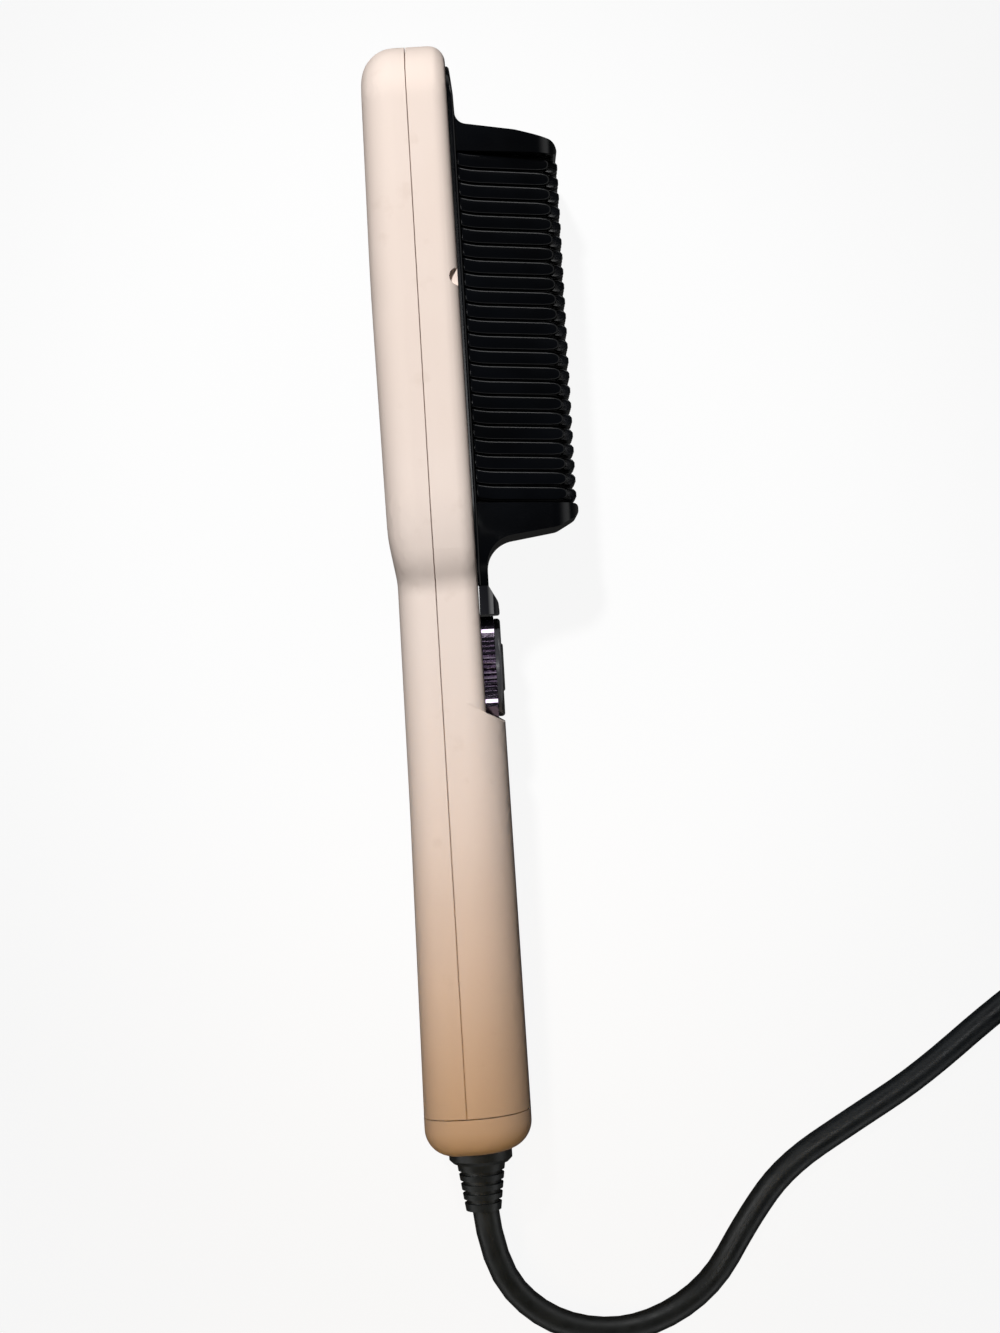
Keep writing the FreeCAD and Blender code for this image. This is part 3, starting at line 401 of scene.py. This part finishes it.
def soft_touch_blush():
    """Matt rubbery paint with a fine grain, faint cloudiness and a few handling marks."""
    material, tree, shader = new_finish("soft_touch_blush", blush, roughness=0.55)
    clouds = ramp(tree, grain(tree, per_metre=26.0, detail=3.0), [(0.30, blush_dull), (0.72, blush_bright)])
    marks = ramp(tree, grain(tree, per_metre=150.0, detail=5.0), [(0.62, white), (0.74, blush_mark)])
    roughness = spread(tree, grain(tree, per_metre=60.0, detail=4.0), low=0.50, high=0.62)
    dressed(tree, shader, mixed(tree, 1.0, clouds, marks, "MULTIPLY"), roughness)
    bumped(tree, shader, grain(tree, per_metre=3800.0, detail=1.0), blush_grain_depth, strength=0.35)
    shader.inputs["Specular IOR Level"].default_value = 0.16
    return material


def satin_black(name, colour, low, high, shine):
    """Moulded black plastic, with a slight tone change and flow marks."""
    material, tree, shader = new_finish(name, colour, roughness=(low + high) / 2)
    stops = [(0.35, toned(colour, 0.6)), (0.70, toned(colour, 1.6))]
    tone = ramp(tree, grain(tree, per_metre=45.0, detail=3.0), stops)
    dressed(tree, shader, tone, spread(tree, grain(tree, per_metre=120.0, detail=4.0), low, high))
    bumped(tree, shader, grain(tree, per_metre=700.0, detail=2.0), flow_mark_depth, strength=0.2)
    shader.inputs["Specular IOR Level"].default_value = shine
    return material


def brushed_metal(name, colour, roughness):
    """Metal with fine lines along Y."""
    material, tree, shader = new_finish(name, colour, roughness, metallic=1.0)
    lines = grain(tree, per_metre=5200.0, detail=2.0, stretch=(1.0, 0.03, 1.0))
    tone = ramp(tree, lines, [(grain_low, toned(colour, 0.82)), (grain_high, colour)])
    dressed(tree, shader, tone, spread(tree, lines, roughness * 0.8, roughness * 1.3))
    bumped(tree, shader, lines, brushed_line_depth, strength=0.3)
    return material


def dark_chrome():
    """Smoked plating of the dial's knurled ring."""
    material, tree, shader = new_finish("dark_chrome", plating, roughness=0.12, metallic=1.0)
    stops = [(grain_low, plating_dark), (grain_high, plating_light)]
    tone = ramp(tree, grain(tree, per_metre=240.0, detail=3.0), stops)
    dressed(tree, shader, tone, spread(tree, grain(tree, per_metre=900.0, detail=3.0), low=0.08, high=0.16))
    bumped(tree, shader, grain(tree, per_metre=3000.0, detail=1.0), plating_grain_depth, strength=0.2)
    return material


def turned_face():
    """Dark plastic with fine rings about the dial's axis, which runs along X."""
    material, tree, shader = new_finish("dial_grey", dial_face, roughness=0.32)
    rings = tree.nodes.new("ShaderNodeTexWave")
    rings.wave_type = "RINGS"
    rings.rings_direction = "X"
    rings.inputs["Scale"].default_value = 500.0
    rings.inputs["Distortion"].default_value = 0.4
    shift = tuple(-along for along in dial_centre)
    tree.links.new(object_place(tree, (1.0, 1.0, 1.0), shift), rings.inputs["Vector"])
    stops = [(grain_low, dial_face), (grain_high, toned(dial_face, 1.5))]
    tone = ramp(tree, grain(tree, per_metre=90.0, detail=3.0), stops)
    dressed(tree, shader, tone, spread(tree, rings.outputs["Fac"], low=0.26, high=0.40))
    bumped(tree, shader, rings.outputs["Fac"], turned_ring_depth, strength=0.35)
    return material


def smoked_lens():
    """Glossy black cover under a clear coat, with a little haze."""
    material, tree, shader = new_finish("smoked_lens", lens_black, roughness=0.05)
    stops = [(grain_low, lens_clear), (grain_high, lens_haze)]
    haze = ramp(tree, grain(tree, per_metre=70.0, detail=3.0), stops)
    dressed(tree, shader, haze, spread(tree, grain(tree, per_metre=180.0, detail=5.0), low=0.03, high=0.10))
    shader.inputs["IOR"].default_value = 1.7
    shader.inputs["Coat Weight"].default_value = 1.0
    shader.inputs["Coat Roughness"].default_value = 0.04
    return material


def cord_rubber():
    """Black PVC sheath: satin, slightly blue, a little uneven and lightly scuffed."""
    material, tree, shader = new_finish("cord_rubber", sheath, roughness=0.42)
    tone = ramp(tree, grain(tree, per_metre=110.0, detail=4.0), [(0.30, sheath_dark), (0.72, sheath_light)])
    scuffs = ramp(tree, grain(tree, per_metre=520.0, detail=5.0), [(0.68, no_scuff), (0.80, sheath_scuff)])
    roughness = spread(tree, grain(tree, per_metre=300.0, detail=4.0), low=0.36, high=0.52)
    dressed(tree, shader, mixed(tree, 1.0, tone, scuffs, "ADD"), roughness)
    bumped(tree, shader, grain(tree, per_metre=900.0, detail=3.0), sheath_grain_depth, strength=0.35)
    return material


def woven_tie():
    """Narrow woven strap."""
    material, tree, shader = new_finish("woven_tie", strap, roughness=0.85)
    weave = tree.nodes.new("ShaderNodeTexChecker")
    weave.inputs["Color1"].default_value = opaque(strap_thread)
    weave.inputs["Color2"].default_value = opaque(strap_gap)
    weave.inputs["Scale"].default_value = 2200.0
    tree.links.new(object_place(tree), weave.inputs["Vector"])
    stops = [(grain_low, fuzz_low), (grain_high, fuzz_high)]
    fuzz = ramp(tree, grain(tree, per_metre=2500.0, detail=3.0), stops)
    dressed(tree, shader, mixed(tree, 1.0, weave.outputs["Color"], fuzz, "MULTIPLY"))
    bumped(tree, shader, weave.outputs["Fac"], weave_depth, strength=0.5)
    shader.inputs["Sheen Weight"].default_value = 0.3
    return material


def mottled(name, first, second, per_metre, roughness):
    """A plain moulded, pressed or fired finish of two close tones."""
    material, tree, shader = new_finish(name, first, roughness)
    tone = ramp(tree, grain(tree, per_metre, detail=4.0), [(0.35, first), (0.65, second)])
    finer = grain(tree, per_metre * 3.0, detail=3.0)
    dressed(tree, shader, tone, spread(tree, finer, roughness * 0.85, roughness * 1.15))
    bumped(tree, shader, grain(tree, per_metre * 9.0, detail=2.0), mottle_depth, strength=0.35)
    return material


def circuit_green():
    """Solder resist with lighter copper runs under it."""
    material, tree, shader = new_finish("circuit_green", resist, roughness=0.35)
    runs = tree.nodes.new("ShaderNodeTexBrick")
    runs.inputs["Color1"].default_value = opaque(resist_dark)
    runs.inputs["Color2"].default_value = opaque(resist_light)
    runs.inputs["Mortar"].default_value = opaque(copper_run)
    runs.inputs["Scale"].default_value = 160.0
    runs.inputs["Mortar Size"].default_value = 0.04
    tree.links.new(object_place(tree), runs.inputs["Vector"])
    dressed(tree, shader, runs.outputs["Color"])
    bumped(tree, shader, runs.outputs["Fac"], copper_run_depth, strength=0.4)
    return material


finishes = {
    "blush_shell": soft_touch_blush(),
    "black_comb": satin_black("satin_comb", comb_black, low=0.17, high=0.23, shine=0.30),
    "coated_metal": satin_black("coated_plate", plate_black, low=0.28, high=0.40, shine=0.40),
    "screw_steel": brushed_metal("plated_steel", steel, roughness=0.28),
    "heater_ceramic": mottled("fired_ceramic", ceramic, ceramic_dull, per_metre=220.0, roughness=0.7),
    "mica": mottled("mica_flakes", mica_brown, mica_pale, per_metre=160.0, roughness=0.4),
    "shield_foil": brushed_metal("shield_aluminium", aluminium, roughness=0.30),
    "dark_lens": smoked_lens(),
    "black_housing": satin_black("black_housing", housing_black, low=0.45, high=0.60, shine=0.50),
    "board_green": circuit_green(),
    "capacitor_box": mottled(
        "capacitor_yellow", capacitor_yellow, capacitor_dull, per_metre=180.0, roughness=0.45
    ),
    "dial_chrome": dark_chrome(),
    "dial_grey": turned_face(),
    "lead_sheath": mottled("lead_red", lead_red, lead_dull, per_metre=400.0, roughness=0.45),
    "contact_brass": brushed_metal("plated_brass", brass, roughness=0.25),
    "cord_black": cord_rubber(),
    "tie_fabric": woven_tie(),
}


# Pieces


def finish_nodes():
    """Every CAD node gets the finish of its slot, whether or not it shows."""
    for part in frame["record"]["subparts"]:
        materials = nodes[part["node"]].data.materials
        materials.clear()
        materials.append(finishes[part["material_slot"]])


def slot_of(node):
    return next(part["material_slot"] for part in frame["record"]["subparts"] if part["node"] == node)


def add_piece(name, mesh, body, slot, replaced):
    """A new piece on its body, in the finish of a record slot, in place of CAD nodes."""
    piece = bpy.data.objects.new(name, mesh)
    bpy.context.scene.collection.objects.link(piece)
    piece.data.materials.clear()
    piece.data.materials.append(finishes[slot])
    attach(piece, body)
    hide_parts(*replaced)
    return piece


def mesh_from(form, name, crease_degrees=skin_crease_degrees):
    mesh = bpy.data.meshes.new(name)
    form.to_mesh(mesh)
    form.free()
    if mesh.has_custom_normals:
        mesh.attributes.remove(mesh.attributes["custom_normal"])
    mesh.polygons.foreach_set("use_smooth", [True] * len(mesh.polygons))
    mesh.set_sharp_from_angle(angle=math.radians(crease_degrees))
    return mesh


def join_forms(whole, forms):
    """Adds forms to a whole one."""
    for form in forms:
        part = mesh_from(form, "joined_part")
        whole.from_mesh(part)
        bpy.data.meshes.remove(part)


def even_shading(piece):
    """Flats stay flat beside rounded edges."""
    piece.modifiers.new("even_shading", "WEIGHTED_NORMAL").keep_sharp = True


def smooth_skin(node):
    """A copy of a node's mesh with its triangles merged, so that flats stay flat and rounds are smooth."""
    form = bmesh.new()
    form.from_mesh(nodes[node].data)
    bmesh.ops.remove_doubles(form, verts=form.verts, dist=merge_distance)
    mesh = mesh_from(form, node + "_skin")
    even_shading(add_piece(node + "_skin", mesh, nodes[node]["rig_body"], slot_of(node), [node]))


def round_off(form, geom, edge, segments=edge_segments, affect="EDGES"):
    bmesh.ops.bevel(
        form, geom=geom, offset=edge, segments=segments, profile=0.5, affect=affect, material=-1
    )


def block(size):
    """A block about the origin."""
    form = bmesh.new()
    bmesh.ops.create_cube(form, size=1.0)
    bmesh.ops.scale(form, verts=form.verts, vec=size)
    return form


def rounded_block(size, edge):
    form = block(size)
    round_off(form, form.edges[:], edge)
    return form


def turned(profile, steps):
    """A closed profile of (x, radius) spun about the X axis."""
    form = bmesh.new()
    verts = [form.verts.new((x, 0.0, radius)) for x, radius in profile]
    edges = [form.edges.new(pair) for pair in zip(verts, verts[1:] + verts[:1])]
    bmesh.ops.spin(
        form,
        geom=verts + edges,
        cent=(0.0, 0.0, 0.0),
        axis=(1.0, 0.0, 0.0),
        angle=2 * math.pi,
        steps=steps,
        use_merge=True,
    )
    bmesh.ops.recalc_face_normals(form, faces=form.faces)
    return form


# Tooth rows


def rising(stations):
    return [(tooth_root_x + up, half) for up, half in stations]


def fin_form(stations, side, width, tip_width, edge, lean=0.0):
    """One tooth from stations of (x, half thickness): it narrows and leans inwards to its tip, tilts with
    its row, and curls a little where it leaves the plate."""
    form = bmesh.new()
    outline = [(x, -half) for x, half in stations] + [(x, half) for x, half in reversed(stations)]
    face = form.faces.new([form.verts.new((x, y, -width / 2)) for x, y in outline])
    made = bmesh.ops.extrude_face_region(form, geom=[face])["geom"]
    far = [item for item in made if isinstance(item, bmesh.types.BMVert)]
    bmesh.ops.translate(form, verts=far, vec=(0.0, 0.0, width))
    rim = [e for e in form.edges if abs(e.verts[0].co.z - e.verts[1].co.z) < width / 2]
    round_off(form, rim, edge)
    root_x, tip_x = stations[0][0], stations[-1][0]
    way = math.copysign(1.0, side)
    for vert in form.verts:
        share = (vert.co.x - root_x) / (tip_x - root_x)
        curl = max(0.0, 1.0 - (vert.co.x - root_x) / tooth_curl_run) ** 2
        vert.co.y += tooth_curl * curl - tooth_tilt * (vert.co.x - tooth_middle_x)
        vert.co.z = side - way * lean * share + vert.co.z * (1.0 + (tip_width / width - 1.0) * share)
    bmesh.ops.recalc_face_normals(form, faces=form.faces)
    return form


def tooth_row_mesh():
    """A row of teeth about Y = 0 and Z = 0: a broad fin at each side, slim round-tipped teeth and a bar."""
    forms = []
    for way in (-1, 1):
        fin = fin_form(rising(fin_stations), way * fin_side, fin_width, fin_tip_width, fin_edge, fin_lean)
        forms.append(fin)
    for number in range(tooth_count):
        side = (number - (tooth_count - 1) / 2) * tooth_pitch
        forms.append(fin_form(rising(tooth_stations), side, tooth_width, tooth_tip_width, tooth_edge))
    bar_width = fin_side * 2
    forms.append(fin_form(rising(bar_stations), 0.0, bar_width, bar_width, fin_edge))
    whole = bmesh.new()
    join_forms(whole, forms)
    return mesh_from(whole, "tooth_row_pattern", tooth_crease_degrees)


def add_tooth_rows():
    rows = sorted(name for name in nodes if name.startswith("tooth_row_"))
    pattern = tooth_row_mesh()
    for number, row in enumerate(rows):
        mesh = pattern.copy()
        mesh.transform(Matrix.Translation((0.0, first_row_y - row_pitch * number, middle_z)))
        add_piece(row + "_teeth", mesh, nodes[row]["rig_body"], slot_of(row), [row])
    bpy.data.meshes.remove(pattern)


# Dial ring


def dial_rib():
    """One rib, narrower at its top, where it stands at the top of the ring."""
    rib = block((rib_length, rib_root_width, rib_top_radius - rib_root_radius))
    top = [vert for vert in rib.verts if vert.co.z > 0.0]
    bmesh.ops.scale(rib, verts=top, vec=(1.0, rib_top_width / rib_root_width, 1.0))
    round_off(rib, rib.edges[:], rib_edge)
    middle_radius = (rib_root_radius + rib_top_radius) / 2
    bmesh.ops.translate(rib, verts=rib.verts, vec=(rib_middle_x, 0.0, middle_radius))
    return mesh_from(rib, "dial_rib", rib_crease_degrees)


def add_dial_ring():
    whole = turned(ring_profile, ring_steps)
    rib = dial_rib()
    for number in range(rib_count):
        whole.from_mesh(rib)
        rib.transform(Matrix.Rotation(2 * math.pi / rib_count, 4, "X"))
    bpy.data.meshes.remove(rib)
    bmesh.ops.translate(whole, verts=whole.verts, vec=dial_centre)
    mesh = mesh_from(whole, "dial_ring_ribbed", ring_crease_degrees)
    even_shading(add_piece("dial_ring_ribbed", mesh, "dial", "dial_chrome", ["dial_ring"]))


# Cord, tie and plug


def coil_angle(turn):
    return math.pi / 2 - turn * 2 * math.pi + math.radians(coil_turn_degrees)


def coil_place(turn):
    """A point of the coil's centreline: it spirals in, climbs in half a turn and spirals out again."""
    climb = min(max(turn - coil_layer_turns, 0.0), coil_climb_turns) / coil_climb_turns
    inwards = min(turn, coil_layer_turns)
    outwards = max(turn - coil_layer_turns - coil_climb_turns, 0.0)
    outer = coil_mean_radius + coil_layer_turns * coil_step / 2
    radius = outer - coil_step * (inwards - outwards)
    angle = coil_angle(turn)
    height = coil_layer_pitch * (1 - math.cos(math.pi * climb)) / 2
    return Vector(coil_centre) + Vector((radius * math.cos(angle), radius * math.sin(angle), height))


coil_turns = coil_layer_turns * 2 + coil_climb_turns
coil_end = coil_place(coil_turns)
plug_heading = math.radians(plug_heading_degrees)
plug_forward = Vector((math.cos(plug_heading), math.sin(plug_heading), 0.0))


def add_cord():
    count = math.ceil(coil_turns * coil_points_per_turn)
    points = [Vector(place) for place in cord_route]
    points += [coil_place(coil_turns * number / count) for number in range(count + 1)]
    points += [coil_end + plug_forward * coil_tail * share for share in tail_shares]
    curve = bpy.data.curves.new("power_lead", "CURVE")
    curve.dimensions = "3D"
    spline = curve.splines.new("NURBS")
    spline.points.add(len(points) - 1)
    for control, point in zip(spline.points, points):
        control.co = (*point, 1.0)
    spline.order_u = cord_curve_order
    spline.use_endpoint_u = True
    spline.resolution_u = cord_curve_steps
    curve.bevel_depth = cord_diameter / 2
    curve.bevel_resolution = cord_round_steps
    curve.use_fill_caps = True
    return add_piece("power_lead", curve, "brush", "cord_black", ["power_cord", "cord_coil"])


def add_tie():
    """A woven strap round the bundle of turns, with its free end laid over the top."""
    turns = [tie_turn_share + number for number in range(math.floor(coil_turns - tie_turn_share) + 1)]
    radii = [(coil_place(turn) - Vector(coil_centre)).xy.length for turn in turns]
    reach = cord_diameter / 2 + tie_slack + tie_thickness / 2
    low_x, high_x = min(radii) - reach, max(radii) + reach
    low_z = tie_thickness / 2
    form = bmesh.new()
    places = ((low_x, low_z), (high_x, low_z), (high_x, tie_top), (low_x, tie_top))
    verts = [form.verts.new((x, -tie_width / 2, z)) for x, z in places]
    for pair in zip(verts, verts[1:] + verts[:1]):
        form.edges.new(pair)
    round_off(form, verts, tie_corner, tie_corner_segments, affect="VERTICES")
    made = bmesh.ops.extrude_edge_only(form, edges=form.edges[:])["geom"]
    far = [item for item in made if isinstance(item, bmesh.types.BMVert)]
    bmesh.ops.translate(form, verts=far, vec=(0.0, tie_width, 0.0))
    bmesh.ops.recalc_face_normals(form, faces=form.faces)
    bmesh.ops.solidify(form, geom=form.faces[:], thickness=tie_thickness)
    tab = rounded_block((tab_length, tie_width, tie_thickness), tab_edge)
    bmesh.ops.translate(tab, verts=tab.verts, vec=((low_x + high_x) / 2, 0.0, tie_top + tie_thickness))
    join_forms(form, [tab])
    mesh = mesh_from(form, "coil_strap", tie_crease_degrees)
    mesh.transform(Matrix.Rotation(coil_angle(tie_turn_share), 4, "Z"))
    mesh.transform(Matrix.Translation((coil_centre[0], coil_centre[1], 0.0)))
    add_piece("coil_strap", mesh, "brush", "tie_fabric", ["coil_tie"])


def plug_relief_profile():
    """Rings that grow from the cord to the plug, as (x, radius), with a bore inside the cord."""
    pitch = plug_relief_length / relief_ring_count
    growth = (relief_end_radius - relief_start_radius) / plug_relief_length
    ring = ((0.0, 0.0), (relief_ring_share, 0.0))
    groove = ((relief_ring_share, relief_groove_depth), (1.0, relief_groove_depth))
    profile = []
    for number in range(relief_ring_count):
        for share, drop in ring + groove:
            x = (number + share) * pitch
            radius = relief_start_radius + growth * x
            profile.append((x, max(radius - drop, cord_diameter / 2)))
    return profile + [(plug_relief_length, relief_bore), (0.0, relief_bore)]


def plug_block():
    """The plug's moulded body: rounded along its length, drawn in at the back and eased at its face."""
    form = block((plug_length, plug_thickness, plug_height))
    bmesh.ops.translate(form, verts=form.verts, vec=(plug_middle_x, 0.0, 0.0))
    long_edges = [e for e in form.edges if abs(e.verts[0].co.x - e.verts[1].co.x) > plug_length / 2]
    round_off(form, long_edges, plug_edge, plug_edge_segments)
    rim_reach = plug_length * plug_rim_share
    for way, edge in ((-1, plug_back_edge), (1, plug_face_edge)):
        rim = [e for e in form.edges if all((v.co.x - plug_middle_x) * way > rim_reach for v in e.verts)]
        round_off(form, rim, edge, plug_rim_segments)
    return form


def add_plug():
    forms = [turned(plug_relief_profile(), relief_steps)]
    for side in (-1, 1):
        for number in range(grip_bar_count):
            bar = rounded_block(grip_bar_size, grip_bar_edge)
            x = plug_middle_x + (number - (grip_bar_count - 1) / 2) * grip_bar_pitch
            bmesh.ops.translate(bar, verts=bar.verts, vec=(x, side * plug_thickness / 2, 0.0))
            forms.append(bar)
    whole = plug_block()
    join_forms(whole, forms)
    mesh = mesh_from(whole, "plug_shell", plug_crease_degrees)
    mesh.transform(Matrix.Rotation(plug_heading, 4, "Z"))
    mesh.transform(Matrix.Translation(coil_end + plug_forward * coil_tail))
    add_piece("plug_shell", mesh, "brush", "cord_black", ["plug_body"])


def add_brush():
    finish_nodes()
    for node in skinned_nodes:
        smooth_skin(node)
    add_dial_ring()
    add_tooth_rows()
    lead = add_cord()
    add_tie()
    add_plug()


# Floor, light and camera


def calculated(tree, operation, *values):
    """A Math node, where each value is a constant or another node's output."""
    node = tree.nodes.new("ShaderNodeMath")
    node.operation = operation
    for socket, value in zip(node.inputs, values):
        if hasattr(value, "is_output"):
            tree.links.new(value, socket)
        else:
            socket.default_value = value
    return node.outputs["Value"]


def pale_floor():
    """Pale to the eye with a faint shadow, nearly black in reflections, and dark in the light that it
    throws back."""
    material, tree, shader = new_finish("pale_floor", floor_base, roughness=0.9)
    shader.inputs["Specular IOR Level"].default_value = 0.0
    shader.inputs["Emission Color"].default_value = opaque(white)
    path = tree.nodes.new("ShaderNodeLightPath")
    reflected = calculated(tree, "MULTIPLY", path.outputs["Is Glossy Ray"], floor_reflected)
    glow = calculated(tree, "MULTIPLY_ADD", path.outputs["Is Camera Ray"], floor_seen, reflected)
    tree.links.new(glow, shader.inputs["Emission Strength"])
    return material


def add_floor():
    form = bmesh.new()
    bmesh.ops.create_grid(form, x_segments=1, y_segments=1, size=floor_half_size)
    floor = bpy.data.objects.new("floor", mesh_from(form, "floor"))
    floor.data.materials.append(pale_floor())
    bpy.context.scene.collection.objects.link(floor)


def pale_world():
    """Soft light all round, and a pale backdrop near the horizon for the camera and for reflections."""
    world = bpy.data.worlds.new("studio")
    bpy.context.scene.world = world
    world.use_nodes = True
    tree = world.node_tree
    background = tree.nodes["Background"]
    path = tree.nodes.new("ShaderNodeLightPath")
    seen = calculated(tree, "MAXIMUM", path.outputs["Is Camera Ray"], path.outputs["Is Glossy Ray"])
    way = tree.nodes.new("ShaderNodeSeparateXYZ")
    tree.links.new(tree.nodes.new("ShaderNodeTexCoord").outputs["Generated"], way.inputs["Vector"])
    backdrop = ramp(tree, way.outputs["Z"], [(backdrop_low, white), (backdrop_high, ceiling_colour)])
    tree.links.new(mixed(tree, seen, opaque(fill_colour), backdrop), background.inputs["Color"])
    background.inputs["Strength"].default_value = 1.0


def add_lamp(name, kind, place, target, power, colour):
    data = bpy.data.lights.new(name, kind)
    data.energy = power
    data.color = colour
    lamp = bpy.data.objects.new(name, data)
    lamp.location = place
    lamp.rotation_euler = (Vector(target) - Vector(place)).to_track_quat("-Z", "Y").to_euler()
    lamp.visible_camera = False
    bpy.context.scene.collection.objects.link(lamp)
    return lamp


def add_light():
    """A pool of light on the head that fades along the handle, a warm glow on the handle's end, and lamps
    that only glint: on the edges at the back, on the comb, and on the dial's ribs from above."""
    pale_world()
    for name, place, target, size, power, colour, cone_degrees, softness in spot_lamps:
        lamp = add_lamp(name, "SPOT", place, target, power, colour)
        lamp.data.shadow_soft_size = size / 2
        lamp.data.spot_size = math.radians(cone_degrees)
        lamp.data.spot_blend = softness
        lamp.visible_glossy = False
    for name, place, target, size, power in glint_lamps:
        lamp = add_lamp(name, "AREA", place, target, power, white)
        lamp.data.shape = "DISK"
        lamp.data.size = size
        lamp.visible_diffuse = False


def add_camera():
    data = bpy.data.cameras.new("camera")
    data.sensor_width = camera_sensor
    data.lens = camera_lens
    camera = bpy.data.objects.new("camera", data)
    camera.location = camera_place
    camera.rotation_euler = (0.0, 0.0, math.radians(camera_roll_degrees))
    bpy.context.scene.collection.objects.link(camera)
    bpy.context.scene.camera = camera


add_brush()
add_floor()
add_light()
add_camera()
bpy.context.scene.view_settings.view_transform = "Standard"
